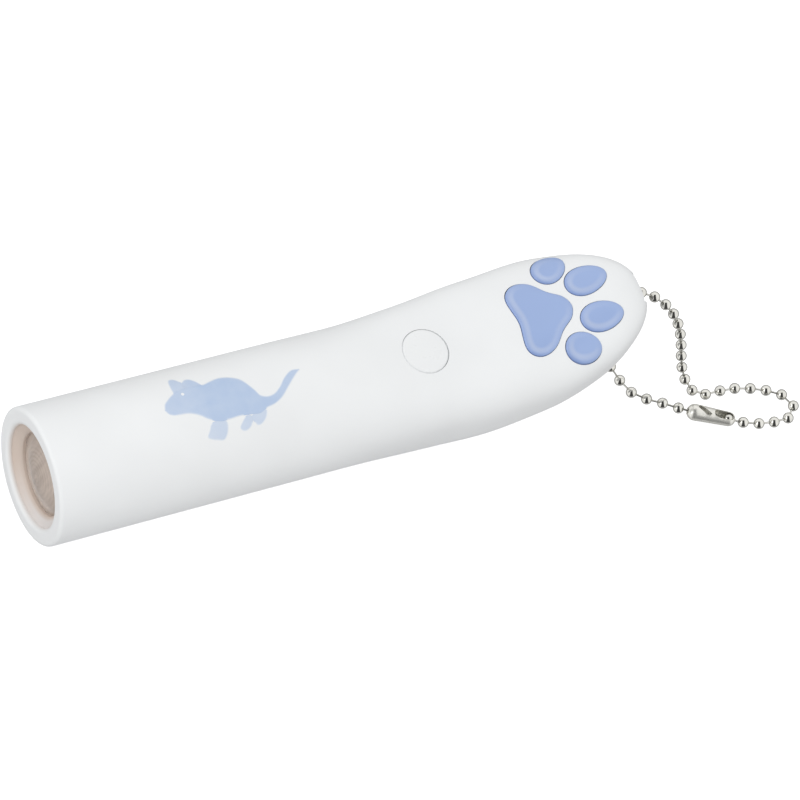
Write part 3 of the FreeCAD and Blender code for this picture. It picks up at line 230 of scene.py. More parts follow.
class PointerLooks(bpy.types.PropertyGroup):
    """Sizes and colours of the finished pieces."""

    shell_colour: FloatVectorProperty(
        name="Shell", description="White plastic of the grip", subtype="COLOR", size=3,
        default=(0.888, 0.903, 0.91), min=0.0, max=1.0)
    tube_colour: FloatVectorProperty(
        name="Lens tube", description="Beige plastic round the lens", subtype="COLOR", size=3,
        default=(0.66, 0.56, 0.49), min=0.0, max=1.0)
    # Painted light: the paler beige that the near side of the mouth is painted with
    mouth_lit_colour: FloatVectorProperty(
        name="Mouth", description="Paler beige on the near side of the mouth", subtype="COLOR",
        size=3, default=(0.75, 0.71, 0.69), min=0.0, max=1.0)
    pad_colour: FloatVectorProperty(
        name="Pads", description="Light blue plastic of the paw's pads", subtype="COLOR",
        size=3, default=(0.345, 0.46, 0.745), min=0.0, max=1.0)
    # Painted sheen: the paler blue painted along each pad's border
    pad_sheen_colour: FloatVectorProperty(
        name="Pad border colour", description="Paler blue along the border of a pad",
        subtype="COLOR", size=3, default=(0.45, 0.54, 0.76), min=0.0, max=1.0)
    # Painted shade: the deeper blue painted at the edge of each pad's shaded side
    pad_shade_colour: FloatVectorProperty(
        name="Pad edge colour", description="Deeper blue at the shaded edge of a pad",
        subtype="COLOR", size=3, default=(0.24, 0.34, 0.63), min=0.0, max=1.0)
    ink_colour: FloatVectorProperty(
        name="Print", description="Light blue ink of the printed animal", subtype="COLOR",
        size=3, default=(0.453, 0.57, 0.77), min=0.0, max=1.0)
    chain_colour: FloatVectorProperty(
        name="Chain", description="Nickel of the ball chain", subtype="COLOR", size=3,
        default=(0.8, 0.79, 0.74), min=0.0, max=1.0)
    pad_border: FloatProperty(
        name="Pad border", description="Width of the sloped border round each pad",
        default=1.5 * MM, min=0.2 * MM, max=1.8 * MM, unit="LENGTH")
    pad_edge_drop: FloatProperty(
        name="Pad edge", description="How far a pad's border falls to its edge",
        default=0.4 * MM, min=0.0, max=0.8 * MM, unit="LENGTH")
    button_round: FloatProperty(
        name="Button edge", description="Radius of the round edge of the button's cap",
        default=0.45 * MM, min=0.05 * MM, max=1.0 * MM, unit="LENGTH")
    button_crown: FloatProperty(
        name="Button crown", description="Height of the button's low dome",
        default=0.2 * MM, min=0.0, max=1.0 * MM, unit="LENGTH")
    print_thickness: FloatProperty(
        name="Print thickness", description="How far the ink stands on the grip",
        default=0.012 * MM, min=0.005 * MM, max=0.1 * MM, unit="LENGTH")
    steps_round: IntProperty(
        name="Steps round", description="Steps round turned pieces and pad outlines",
        default=128, min=32, max=512)
    floor_reach: FloatProperty(
        name="Floor", description="Half the side of the square floor", default=3.0, min=0.5,
        max=10.0, unit="LENGTH")


def looks():
    """The sizes and colours set for this scene."""
    return bpy.context.scene.pointer_looks


def placed(points):
    """Drawing millimetres to frame metres: shift by half the length and the axis height."""
    moved = np.asarray(points, float) - (BODY_LENGTH / 2, 0.0, -AXIS_HEIGHT)
    return moved * MM


# Form of the grip


def cubic_steps(stops, values, slope, spots):
    """Cubic steps between rows: over a step of width w, where t runs from 0 to 1, a value is
    a (1-t)^2 (1+2t) + b t^2 (3-2t) + w t (1-t) (p (1-t) - q t), with the rows a and b and the
    slopes p and q at its ends."""
    k = np.clip(np.searchsorted(stops, spots, side="right") - 1, 0, len(stops) - 2)
    width = (stops[k + 1] - stops[k])[..., None]
    t = (spots - stops[k])[..., None] / width
    rest = 1 - t
    return (values[k] * rest ** 2 * (1 + 2 * t) + values[k + 1] * t ** 2 * (3 - 2 * t)
            + width * t * rest * (slope[k] * rest - slope[k + 1] * t))


def grip_row(x):
    """Half width, half height, middle height and power at x: cubic steps between rows whose
    slope at each row is the harmonic mean of the slopes beside it, or level at a turn."""
    stops = GRIP_ROWS[:, 0]
    values = GRIP_ROWS[:, 1:]
    rise = np.diff(values, axis=0) / np.diff(stops)[:, None]
    before, after = rise[:-1], rise[1:]
    both = before * after
    total = np.where(both > 0, before + after, 1.0)
    inner = np.where(both > 0, 2 * both / total, 0.0)
    slope = np.vstack([rise[:1], inner, rise[-1:]])
    return cubic_steps(stops, values, slope, x)


def grip_top(x, y, inset=0.0):
    """Height of the grip's upper face over (x, y), or of the face that lies inset under it.
    The section is a superellipse whose half width and height shrink along the nose as
    (1 - u^p)^(1/p), where u runs from 0 to the nose share."""
    half_width, half_height, middle, power = np.moveaxis(grip_row(x), -1, 0)
    u = np.clip((x - NOSE_START) / (BODY_LENGTH - inset - NOSE_START), 0, 1) * NOSE_SHARE
    half_width = (half_width - inset) * (1 - u ** NOSE_WIDTH_POWER) ** (1 / NOSE_WIDTH_POWER)
    half_height = (half_height - inset) * (1 - u ** NOSE_HEIGHT_POWER) ** (1 / NOSE_HEIGHT_POWER)
    share = np.clip(np.abs(y) / half_width, 0, 1)
    return middle + half_height * (1 - share ** power) ** (1 / power)


# Curves


def closed_curve(points, count):
    """Uniform cubic B-spline round the points. Each pole is moved out by a sixth of its second
    difference, so that the curve passes close to the points."""
    points = np.asarray(points, float)
    poles = points + (2 * points - np.roll(points, 1, 0) - np.roll(points, -1, 0)) / 6
    turn = np.arange(count) * len(poles) / count
    first = np.floor(turn).astype(int)
    t = (turn - first)[:, None]
    a, b, c, d = (poles[(first + shift) % len(poles)] for shift in (-1, 0, 1, 2))
    return ((1 - t) ** 3 * a + (3 * t ** 3 - 6 * t ** 2 + 4) * b
            + (-3 * t ** 3 + 3 * t ** 2 + 3 * t + 1) * c + t ** 3 * d) / 6


def open_curve(points, count):
    """Curve through the points in cubic steps, each leaving a point along the line between its
    neighbours, at equal steps of the points' own distances."""
    reach = np.concatenate([[0], np.cumsum(np.linalg.norm(np.diff(points, axis=0), axis=1))])
    slope = np.gradient(points, reach, axis=0)
    return cubic_steps(reach, points, slope, np.linspace(0, reach[-1], count))


def drawn_in(outline, distance):
    """A closed outline moved inwards along its normals, each at right angles to the line
    between the neighbours of its point."""
    along = np.roll(outline, -1, 0) - np.roll(outline, 1, 0)
    along /= np.linalg.norm(along, axis=1, keepdims=True)
    inward = np.stack([-along[:, 1], along[:, 0]], axis=1)
    area = np.sum(outline[:, 0] * np.roll(outline[:, 1], -1)
                  - outline[:, 1] * np.roll(outline[:, 0], -1))
    return outline + inward * distance * np.sign(area)


def ramp(values, start, end):
    """0 at the start and 1 at the end, in a straight line between them and level beyond."""
    return np.clip((values - start) / (end - start), 0, 1)


# Meshes from grids


def grid_faces(rows, columns, wrap_columns=False):
    """Quads over a grid of points stored row by row."""
    row, column = np.meshgrid(np.arange(rows - 1),
                              np.arange(columns if wrap_columns else columns - 1),
                              indexing="ij")
    right = (column + 1) % columns
    faces = np.stack([row * columns + column, row * columns + right,
                      (row + 1) * columns + right, (row + 1) * columns + column], axis=-1)
    return faces.reshape(-1, 4)


def make_piece(name, points, faces, material, sharp=40.0):
    """Mesh object from drawing-space points. Doubles are merged, so that seams and poles
    close, the faces turn outwards and all but sharp edges are smooth."""
    mesh = bpy.data.meshes.new(name)
    mesh.from_pydata(placed(points).tolist(), [], np.asarray(faces).tolist())
    piece = bpy.data.objects.new(name, mesh)
    bpy.context.scene.collection.objects.link(piece)
    work = bmesh.new()
    work.from_mesh(mesh)
    bmesh.ops.remove_doubles(work, verts=work.verts, dist=1e-7)
    bmesh.ops.dissolve_degenerate(work, dist=1e-8, edges=work.edges)
    bmesh.ops.recalc_face_normals(work, faces=work.faces)
    work.to_mesh(mesh)
    work.free()
    mesh.shade_smooth()
    mesh.set_sharp_from_angle(angle=math.radians(sharp))
    mesh.materials.append(material)
    return piece


def nearest(piece, border):
    """For each vertex seen from above, its place, its distance to the nearest of the border's
    points and that point's index."""
    spots = np.empty(3 * len(piece.data.vertices), np.float32)
    piece.data.vertices.foreach_get("co", spots)
    spots = spots.reshape(-1, 3)[:, :2] / MM + (BODY_LENGTH / 2, 0)
    apart = np.linalg.norm(spots[:, None] - border[None], axis=2)
    return spots, apart.min(axis=1), apart.argmin(axis=1)


def mark(piece, name, values):
    """Stores one number for each vertex, for the finish to read."""
    attribute = piece.data.attributes.new(name, "FLOAT", "POINT")
    attribute.data.foreach_set("value", np.asarray(values, np.float32))


def stacked(rows):
    """Points and faces of closed rings laid one after another."""
    rows = np.stack(rows)
    return rows.reshape(-1, 3), grid_faces(rows.shape[0], rows.shape[1], wrap_columns=True)


def turned(profile, steps):
    """Points and faces of a profile of (r, h) turned round an axis: r cos(a), r sin(a), h."""
    turn = np.linspace(0, math.tau, steps, endpoint=False)
    return stacked([np.column_stack([radius * np.cos(turn), radius * np.sin(turn),
                                     np.full_like(turn, height)])
                    for radius, height in profile])


# Finishes


def new_material(name):
    """A new material with its node tree and its Principled shader."""
    material = bpy.data.materials.new(name)
    material.use_nodes = True
    return material, material.node_tree, material.node_tree.nodes["Principled BSDF"]


def node(tree, kind, settings=None, **inputs):
    """A node with its settings and inputs: a socket is linked, a value is set."""
    made = tree.nodes.new(kind)
    for name, value in (settings or {}).items():
        setattr(made, name, value)
    for name, value in inputs.items():
        socket = made.inputs[name.replace("_", " ")]
        if isinstance(value, bpy.types.NodeSocket):
            tree.links.new(value, socket)
        else:
            socket.default_value = value
    return made


def object_place(tree):
    """Object coordinates, which are the frame's metres."""
    return node(tree, "ShaderNodeTexCoord").outputs["Object"]


def noise(tree, place, scale, detail=2.0, roughness=0.5):
    """Noise over object coordinates, from 0 to 1; the scale counts cells per metre."""
    made = node(tree, "ShaderNodeTexNoise", None, Vector=place, Scale=scale, Detail=detail,
                Roughness=roughness)
    return made.outputs["Fac"]


def stretched(tree, place, scale):
    """Coordinates scaled along each axis."""
    made = node(tree, "ShaderNodeMapping", None, Vector=place, Scale=scale)
    return made.outputs["Vector"]


def ranged(tree, value, low, high, out_low=0.0, out_high=1.0, smooth=False):
    """A value taken from one range to another and clamped."""
    made = node(tree, "ShaderNodeMapRange", {"clamp": True}, Value=value)
    if smooth:
        made.interpolation_type = "SMOOTHSTEP"
    for name, limit in (("From Min", low), ("From Max", high), ("To Min", out_low),
                        ("To Max", out_high)):
        made.inputs[name].default_value = limit
    return made.outputs["Result"]


def mixed(tree, share, first, second):
    """Colour between two colours by a varying share."""
    made = node(tree, "ShaderNodeMix", {"data_type": "RGBA"})
    tree.links.new(share, made.inputs["Factor"])
    for name, value in (("A", first), ("B", second)):
        socket = next(item for item in made.inputs
                      if item.name == name and item.type == "RGBA")
        if isinstance(value, bpy.types.NodeSocket):
            tree.links.new(value, socket)
        else:
            socket.default_value = (*value[:3], 1.0)
    return next(item for item in made.outputs if item.type == "RGBA")


def calculated(tree, operation, *values):
    """The result of one step of arithmetic over sockets and numbers."""
    made = node(tree, "ShaderNodeMath", {"operation": operation})
    for index, value in enumerate(values):
        if isinstance(value, bpy.types.NodeSocket):
            tree.links.new(value, made.inputs[index])
        else:
            made.inputs[index].default_value = value
    return made.outputs["Value"]


def product(tree, first, *others):
    """All the values multiplied."""
    for other in others:
        first = calculated(tree, "MULTIPLY", first, other)
    return first


def window(tree, value, middle, full, gone):
    """1 as long as the value lies within full of the middle, falling to 0 at gone from it."""
    away = calculated(tree, "ABSOLUTE", calculated(tree, "SUBTRACT", value, middle))
    return ranged(tree, away, full, gone, 1.0, 0.0)


def separated(tree, place):
    """The three coordinates of a place."""
    return node(tree, "ShaderNodeSeparateXYZ", None, Vector=place).outputs


def facing(tree, way, axis):
    """How far a direction points along an axis, from -1 to 1."""
    made = node(tree, "ShaderNodeVectorMath", {"operation": "DOT_PRODUCT"})
    tree.links.new(way, made.inputs[0])
    made.inputs[1].default_value = axis
    return made.outputs["Value"]


def either(tree, share, first, second):
    """A shader between two shaders by a share."""
    made = node(tree, "ShaderNodeMixShader", None, Fac=share)
    tree.links.new(first, made.inputs[1])
    tree.links.new(second, made.inputs[2])
    return made.outputs["Shader"]


def bumped(tree, height, strength, distance):
    """The normal that a height gives, with the relief's depth in metres."""
    made = node(tree, "ShaderNodeBump", None, Height=height, Strength=strength,
                Distance=distance)
    return made.outputs["Normal"]


def shaded(colour, share):
    """The colour made lighter or darker by a share."""
    return tuple(min(1.0, channel * share) for channel in colour)


def group(name, outputs):
    """A new shader node group that takes object coordinates."""
    tree = bpy.data.node_groups.new(name, "ShaderNodeTree")
    tree.interface.new_socket("Place", in_out="INPUT", socket_type="NodeSocketVector")
    for output in outputs:
        tree.interface.new_socket(output, in_out="OUTPUT", socket_type="NodeSocketFloat")
    return tree, tree.nodes.new("NodeGroupInput"), tree.nodes.new("NodeGroupOutput")


def mould_grain():
    """Moulded plastic: the fine grain of the mould as a height, a slow drift of tone and an
    uneven polish."""
    tree = bpy.data.node_groups.get("mould_grain")
    if tree:
        return tree
    tree, start, end = group("mould_grain", ("Height", "Drift", "Polish"))
    place = start.outputs["Place"]
    tree.links.new(noise(tree, place, 2600.0), end.inputs["Height"])
    tree.links.new(ranged(tree, noise(tree, place, 55.0), 0.35, 0.65), end.inputs["Drift"])
    tree.links.new(noise(tree, place, 320.0, 4.0, 0.6), end.inputs["Polish"])
    return tree


def metal_wear():
    """Metal in use: cloudy tarnish and fine lines, as shares from 0 to 1."""
    tree = bpy.data.node_groups.get("metal_wear")
    if tree:
        return tree
    tree, start, end = group("metal_wear", ("Tarnish", "Lines"))
    place = start.outputs["Place"]
    tarnish = ranged(tree, noise(tree, place, 420.0, 4.0, 0.65), 0.45, 0.75)
    tree.links.new(tarnish, end.inputs["Tarnish"])
    lines = noise(tree, stretched(tree, place, (600.0, 9000.0, 9000.0)), 1.0, 1.0)
    tree.links.new(lines, end.inputs["Lines"])
    return tree


def grouped(tree, made):
    """A node group placed in a material, fed with object coordinates."""
    placed_group = node(tree, "ShaderNodeGroup", {"node_tree": made})
    tree.links.new(object_place(tree), placed_group.inputs["Place"])
    return placed_group.outputs


def moulded(name, colour, low=0.3, high=0.42, drift=0.965, grain=0.08, shine=0.5):
    """Moulded plastic of one colour whose tone drifts by a share, with a roughness from low to
    high and the mould's fine grain."""
    material, tree, shader = new_material(name)
    mould = grouped(tree, mould_grain())
    tree.links.new(mixed(tree, mould["Drift"], colour, shaded(colour, drift)),
                   shader.inputs["Base Color"])
    tree.links.new(ranged(tree, mould["Polish"], 0.3, 0.7, low, high),
                   shader.inputs["Roughness"])
    tree.links.new(bumped(tree, mould["Height"], grain, GRAIN_DEPTH), shader.inputs["Normal"])
    shader.inputs["Specular IOR Level"].default_value = shine
    return material


def metal(name, colour, low, high, dull=0.8, metallic=1.0):
    """Bare or plated metal with a roughness from low to high. The tarnish darkens it to the
    share dull and takes its shine."""
    material, tree, shader = new_material(name)
    wear = grouped(tree, metal_wear())
    shader.inputs["Metallic"].default_value = metallic
    tree.links.new(mixed(tree, wear["Tarnish"], colour, shaded(colour, dull)),
                   shader.inputs["Base Color"])
    gloss = calculated(tree, "ADD", product(tree, wear["Tarnish"], 0.6),
                       product(tree, wear["Lines"], 0.4))
    tree.links.new(ranged(tree, gloss, 0.1, 0.8, low, high), shader.inputs["Roughness"])
    return material


def refinished(material):
    """Tree and shader of a made material, and the colour that it has so far."""
    shader = material.node_tree.nodes["Principled BSDF"]
    return material.node_tree, shader, shader.inputs["Base Color"].links[0].from_socket


def axis_distance(tree, place):
    """Distance in metres from the axis of the round front."""
    parts = separated(tree, place)
    height = calculated(tree, "SUBTRACT", parts["Z"], AXIS_HEIGHT * MM)
    square = calculated(tree, "ADD", product(tree, parts["Y"], parts["Y"]),
                        product(tree, height, height))
    return calculated(tree, "SQRT", square)


def mouth_painted_light(tree, settings):
    """Painted light: beige on the far side of the mouth, painted paler on the near side where
    light comes through the white shell.
    """
    across = separated(tree, object_place(tree))["Y"]
    # Painted light: the colour turns from the lit pale beige to the tube's beige across the
    # grip's width
    return mixed(tree, ranged(tree, across, *MOUTH_LIGHT_FADE), settings.mouth_lit_colour,
                 settings.tube_colour)


def bezel_finish(settings):
    """White ring whose inner wall is painted beige: painted light of the lens tube showing
    through the white, with the mouth's painted light.
    """
    material = moulded("bezel_white", settings.shell_colour, shine=SHELL_SHINE)
    tree, shader, outside = refinished(material)
    place = object_place(tree)
    # Painted light: the inner wall turns to the mouth's painted beige by its radius and its
    # depth
    inner = ranged(tree, axis_distance(tree, place), *RIM_FADE, smooth=True)
    along = calculated(tree, "ADD", separated(tree, place)["X"], BODY_LENGTH / 2 * MM)
    deep = ranged(tree, along, 0.0, RIM_DEPTH, smooth=True)
    tree.links.new(mixed(tree, product(tree, inner, deep), outside, mouth_painted_light(tree, settings)),
                   shader.inputs["Base Color"])
    return material


def funnel_finish(settings):
    """Beige funnel round the lens, a little darker towards the lens, taking the mouth's painted
    light on its outer part.
    """
    material = moulded("ring_beige", settings.tube_colour, shine=SHELL_SHINE)
    tree, shader, _ = refinished(material)
    inner = ranged(tree, axis_distance(tree, object_place(tree)), *FUNNEL_FADE, smooth=True)
    # The outer part takes the mouth's painted light
    tree.links.new(mixed(tree, inner, mouth_painted_light(tree, settings),
                         shaded(settings.tube_colour, 0.95)), shader.inputs["Base Color"])
    return material


def lens_finish(settings):
    """Clear lens whose colour is painted with faint upright streaks, a painted reflection of the
    inside, and with the turned rings of its mould. The rings are the sine of the distance from
    the axis."""
    material, tree, shader = new_material("lens_clear")
    place = object_place(tree)
    # Painted reflection: upright streaks of the inside, painted into the lens's colour
    reflected_streaks_and_rings = noise(tree, stretched(tree, place, (60.0, 900.0, 120.0)), 1.0, 3.0, 0.6)
    rings = calculated(tree, "SINE", product(tree, axis_distance(tree, place), LENS_RINGS))
    depth = ranged(tree, noise(tree, place, 160.0), 0.4, 0.65, 0.0, 0.1)
    reflected_streaks_and_rings = calculated(tree, "ADD", reflected_streaks_and_rings, product(tree, rings, depth))
    tint = settings.tube_colour
    # The painted reflection streaks and the mould's rings lighten and darken the lens's colour
    tree.links.new(mixed(tree, ranged(tree, reflected_streaks_and_rings, 0.3, 0.7), shaded(tint, 0.9),
                         shaded(tint, 1.2)), shader.inputs["Base Color"])
    tree.links.new(ranged(tree, reflected_streaks_and_rings, 0.3, 0.7, 0.05, 0.14), shader.inputs["Roughness"])
    shader.inputs["Transmission Weight"].default_value = 0.35
    shader.inputs["IOR"].default_value = CLEAR_INDEX
    return material


def clear_finish(name, colour):
    """Clear moulded plastic with a little haze."""
    material, tree, shader = new_material(name)
    mould = grouped(tree, mould_grain())
    tree.links.new(ranged(tree, mould["Polish"], 0.3, 0.7, 0.03, 0.12),
                   shader.inputs["Roughness"])
    tree.links.new(mixed(tree, mould["Drift"], colour, shaded(colour, 0.95)),
                   shader.inputs["Base Color"])
    shader.inputs["Transmission Weight"].default_value = 0.9
    shader.inputs["IOR"].default_value = CLEAR_INDEX
    return material


def slide_finish():
    """Dark film with a small clear ring and disc, the figure that the beam throws."""
    material, tree, shader = new_material("slide_film")
    distance = axis_distance(tree, object_place(tree))
    disc = calculated(tree, "LESS_THAN", distance, SLIDE_DISC)
    ring = product(tree, calculated(tree, "GREATER_THAN", distance, SLIDE_RING[0]),
                   calculated(tree, "LESS_THAN", distance, SLIDE_RING[1]))
    figure = calculated(tree, "ADD", disc, ring)
    tree.links.new(mixed(tree, figure, (0.01, 0.012, 0.02), (0.75, 0.78, 0.8)),
                   shader.inputs["Base Color"])
    shader.inputs["Roughness"].default_value = 0.18
    return material


def board_finish():
    """Green lacquer over copper tracks, seen as paler straight bands."""
    material, tree, shader = new_material("board_green")
    place = object_place(tree)
    tracks = node(tree, "ShaderNodeTexBrick", {"offset": 0.37}, Vector=place, Scale=1.0)
    tracks.inputs["Mortar Size"].default_value = 0.18 * MM
    tracks.inputs["Brick Width"].default_value = 5.2 * MM
    tracks.inputs["Row Height"].default_value = 1.7 * MM
    tree.links.new(mixed(tree, tracks.outputs["Fac"], (0.012, 0.12, 0.045),
                         (0.05, 0.26, 0.09)), shader.inputs["Base Color"])
    mould = grouped(tree, mould_grain())
    tree.links.new(ranged(tree, mould["Polish"], 0.3, 0.7, 0.2, 0.35),
                   shader.inputs["Roughness"])
    return material


def resistor_finish():
    """Tan body with four coloured bands along its length."""
    material, tree, shader = new_material("resistor_tan")
    middle = float(np.mean(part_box("resistor"), axis=0)[0])
    along = separated(tree, object_place(tree))["X"]
    colour = (0.6, 0.42, 0.25)
    for shift, band in RESISTOR_BANDS:
        away = calculated(tree, "ABSOLUTE",
                          calculated(tree, "SUBTRACT", along, middle + shift * MM))
        colour = mixed(tree, calculated(tree, "LESS_THAN", away, BAND_HALF), colour, band)
    tree.links.new(colour, shader.inputs["Base Color"])
    shader.inputs["Roughness"].default_value = 0.3
    return material


def pad_finish(settings):
    """Soft blue plastic with a painted sheen, a paler colour along its sloped border, and
    painted shade, a deeper colour at the very edge of the shaded side."""
    material = moulded("pad_blue", settings.pad_colour, 0.18, 0.26, 0.95, 0.05)
    tree, shader, colour = refinished(material)
    # Painted sheen and painted shade, read from the marks on each pad
    for name, tone in (("pale", settings.pad_sheen_colour), ("deep", settings.pad_shade_colour)):
        share = node(tree, "ShaderNodeAttribute", {"attribute_name": name}).outputs["Fac"]
        colour = mixed(tree, share, colour, tone)
    tree.links.new(colour, shader.inputs["Base Color"])
    return material


def ink_finish(settings):
    """Pad-printed ink: the white shows through where the ink is thin."""
    material, tree, shader = new_material("print_ink")
    place = object_place(tree)
    ink = node(tree, "ShaderNodeAttribute", {"attribute_name": "ink"}).outputs["Fac"]
    cloud = ranged(tree, noise(tree, place, 500.0, 3.0), 0.3, 0.7, 0.9, 1.0)
    cover = product(tree, ink, cloud)
    tree.links.new(mixed(tree, cover, settings.shell_colour, settings.ink_colour),
                   shader.inputs["Base Color"])
    tree.links.new(ranged(tree, noise(tree, place, 900.0), 0.3, 0.7, 0.35, 0.5),
                   shader.inputs["Roughness"])
    return material


def paint(material, *nodes):
    """Gives CAD nodes one finish."""
    for name in nodes:
        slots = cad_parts[name].data.materials
        slots.clear()
        slots.append(material)


# Operators


class POINTER_OT_shells(bpy.types.Operator):
    """White plastic of the grip, its battery cover and the ring at the front"""

    bl_idname = "pointer.shells"
    bl_label = "Shells"

    def execute(self, context):
        settings = looks()
        shell = moulded("white_shell", settings.shell_colour, shine=SHELL_SHINE)
        paint(shell, "upper_shell", "lower_shell", "battery_cover")
        paint(bezel_finish(settings), "front_bezel")
        return {"FINISHED"}


class POINTER_OT_optics(bpy.types.Operator):
    """Front lens with its ring and tube, and the projector parts behind it"""

    bl_idname = "pointer.optics"
    bl_label = "Optics"

    def execute(self, context):
        settings = looks()
        paint(moulded("tube_beige", settings.tube_colour, 0.3, 0.45), "lens_tube", "led_holder")
        self.turn_funnel(settings)
        paint(lens_finish(settings), "front_lens")
        paint(clear_finish("condenser_clear", (0.95, 0.96, 0.97)), "condenser_lens")
        paint(clear_finish("led_clear", (0.9, 0.92, 0.95)), "led")
        paint(slide_finish(), "motif_slide")
        return {"FINISHED"}

    def turn_funnel(self, settings):
        """Ring before the lens, turned round the grip's axis: a cone from the mouth's wall to
        the hole, with a round corner there."""
        points, faces = turned(FUNNEL_PROFILE, settings.steps_round * 2)
        piece = make_piece("lens_ring_turned", points[:, [2, 0, 1]], faces,
                           funnel_finish(settings))
        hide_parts("lens_ring")
        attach(piece, "grip")


class POINTER_OT_works(bpy.types.Operator):
    """Board, switch, cells, contacts and screws inside the grip"""

    bl_idname = "pointer.works"
    bl_label = "Works"

    def execute(self, context):
        paint(board_finish(), "circuit_board")
        paint(resistor_finish(), "resistor")
        paint(moulded("black_plastic", (0.02, 0.02, 0.022), 0.35, 0.5), "switch_body",
              "switch_plunger")
        paint(metal("cell_steel", (0.78, 0.77, 0.74), 0.12, 0.3), "cell_front", "cell_middle",
              "cell_rear")
        paint(metal("contact_metal", (0.8, 0.77, 0.68), 0.15, 0.35), "positive_contact",
              "negative_contact", "battery_spring")
        paint(metal("screw_steel", (0.66, 0.65, 0.63), 0.2, 0.4), "cover_screw", "case_screws",
              "lanyard_pin")
        return {"FINISHED"}


class POINTER_OT_pads(bpy.types.Operator):
    """Five pads of the paw, each with a sloped border, set into the top of the grip"""

    bl_idname = "pointer.pads"
    bl_label = "Pads"

    def execute(self, context):
        settings = looks()
        finish = pad_finish(settings)
        border = settings.pad_border / MM
        for name, outline in pad_outlines(settings.steps_round * 2):
            outline = outline + PAD_SHIFT
            points, faces = pad_form(outline, border, settings.pad_edge_drop / MM)
            piece = make_piece(name + "_shaped", points, faces, finish, 50.0)
            self.tone(piece, outline, border)
            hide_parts(name)
            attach(piece, "grip")
        return {"FINISHED"}

    def tone(self, piece, outline, border):
        """Shares of the border's two painted tones, where e runs from 0 at its inner line to 1
        at the
        edge: pale, a painted sheen, is sin(pi e^0.8)^2, stronger on the shaded side, and deep,
        painted shade, rises over the last of e on that side alone."""
        _, apart, index = nearest(piece, outline)
        shade = (drawn_in(outline, -1.0) - outline)[index] @ PAD_SHADE_SIDE
        edge = ramp(apart, border, 0)
        # Painted sheen along the border
        mark(piece, "pale", np.sin(math.pi * edge ** 0.8) ** 2 * (0.5 + 0.5 * shade))
        # Painted shade at the edge of the shaded side
        mark(piece, "deep", ramp(edge, PAD_SHADE_START, 1) * np.clip(shade, 0, 1))


def pad_outlines(count):
    """Name and closed outline of each pad. A toe pad is an egg, x = l cos(a) and
    y = w sin(a) (1 - k cos(a)), narrower towards the claw end and turned outwards."""
    near = MAIN_PAD_HALF[::-1] * (1, -1)
    main = np.vstack([[(MAIN_PAD_NOSE, 0)], MAIN_PAD_HALF, near]) + (MAIN_PAD_X, 0)
    yield "main_pad", closed_curve(main, count)
    angle = np.arange(TOE_POINTS) * math.tau / TOE_POINTS
    for name, x, y, length, width, turn, side in TOE_PADS:
        along = length / 2 * np.cos(angle)
        across = width / 2 * np.sin(angle) * (1 - TOE_TAPER * np.cos(angle))
        cosine, sine = math.cos(math.radians(turn)), math.sin(math.radians(turn))
        egg = np.stack([x + along * cosine - across * sine,
                        side * (y + along * sine + across * cosine)], axis=-1)
        yield name, closed_curve(egg, count)


def pad_form(outline, border, edge_drop, flat_rows=9, border_rows=19):
    """Pad over a closed outline: level above the grip's face in the middle and falling over
    its border by drop (1 - sqrt(1 - (1 - d/w)^2)) at the distance d from the edge, with
    upright sides."""
    rows = []
    flat = drawn_in(outline, border)
    middle = flat.mean(axis=0)
    for share in np.linspace(0, 1, flat_rows)[:-1]:
        ring = middle + (flat - middle) * share
        rows.append(np.column_stack([ring, grip_top(*ring.T, -PAD_RISE)]))
    for share in np.sin(np.linspace(0, math.pi / 2, border_rows)):
        ring = drawn_in(outline, border * (1 - share))
        drop = edge_drop * (1 - math.sqrt(1 - share ** 2))
        rows.append(np.column_stack([ring, grip_top(*ring.T, -PAD_RISE) - drop]))
    for share in (1.0, 0.5, 0.0):
        ring = middle + (outline - middle) * share
        rows.append(np.column_stack([ring, grip_top(*ring.T, PAD_DEPTH)]))
    return stacked(rows)


class POINTER_OT_button(bpy.types.Operator):
    """Push button with a round edge and a low dome, over its flange and stem"""

    bl_idname = "pointer.button"
    bl_label = "Button"

    radius: FloatProperty(name="Radius", description="Radius of the cap", default=4.17 * MM,
                          min=1.0 * MM, max=8.0 * MM, unit="LENGTH")
    flange: FloatProperty(name="Flange", description="Radius of the flange that the shell holds",
                          default=4.7 * MM, min=1.0 * MM, max=9.0 * MM, unit="LENGTH")

    def execute(self, context):
        settings = looks()
        profile = cap_profile(self.radius / MM, self.flange / MM, settings.button_round / MM,
                              settings.button_crown / MM)
        points, faces = turned(profile, settings.steps_round)
        finish = moulded("button_white", settings.shell_colour, 0.25, 0.36)
        piece = make_piece("push_button_cap", points + (BUTTON_X, 0, 0), faces, finish)
        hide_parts("push_button")
        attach(piece, "button")
        return {"FINISHED"}


def cap_profile(cap, flange, edge, crown, dome_rows=24, edge_rows=12):
    """Radius and height down the button: a dome that falls by crown s^2, where s runs from 0 to
    1 over the cap without its edge, then a quarter circle, the flange and the stem."""
    low, high = (corner[2] / MM - AXIS_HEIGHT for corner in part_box("push_button"))
    share = np.linspace(0, 1, dome_rows)
    dome = np.column_stack([(cap - edge) * share, high - crown * share ** 2])
    angle = np.linspace(0, math.pi / 2, edge_rows)[1:]
    corner = np.column_stack([cap - edge + edge * np.sin(angle),
                              high - crown - edge * (1 - np.cos(angle))])
    foot = FLANGE_TOP - FLANGE_THICKNESS
    below = [(cap, FLANGE_TOP), (flange, FLANGE_TOP), (flange, foot), (STEM_RADIUS, foot),
             (STEM_RADIUS, low), (0, low)]
    return np.vstack([dome, corner, below])


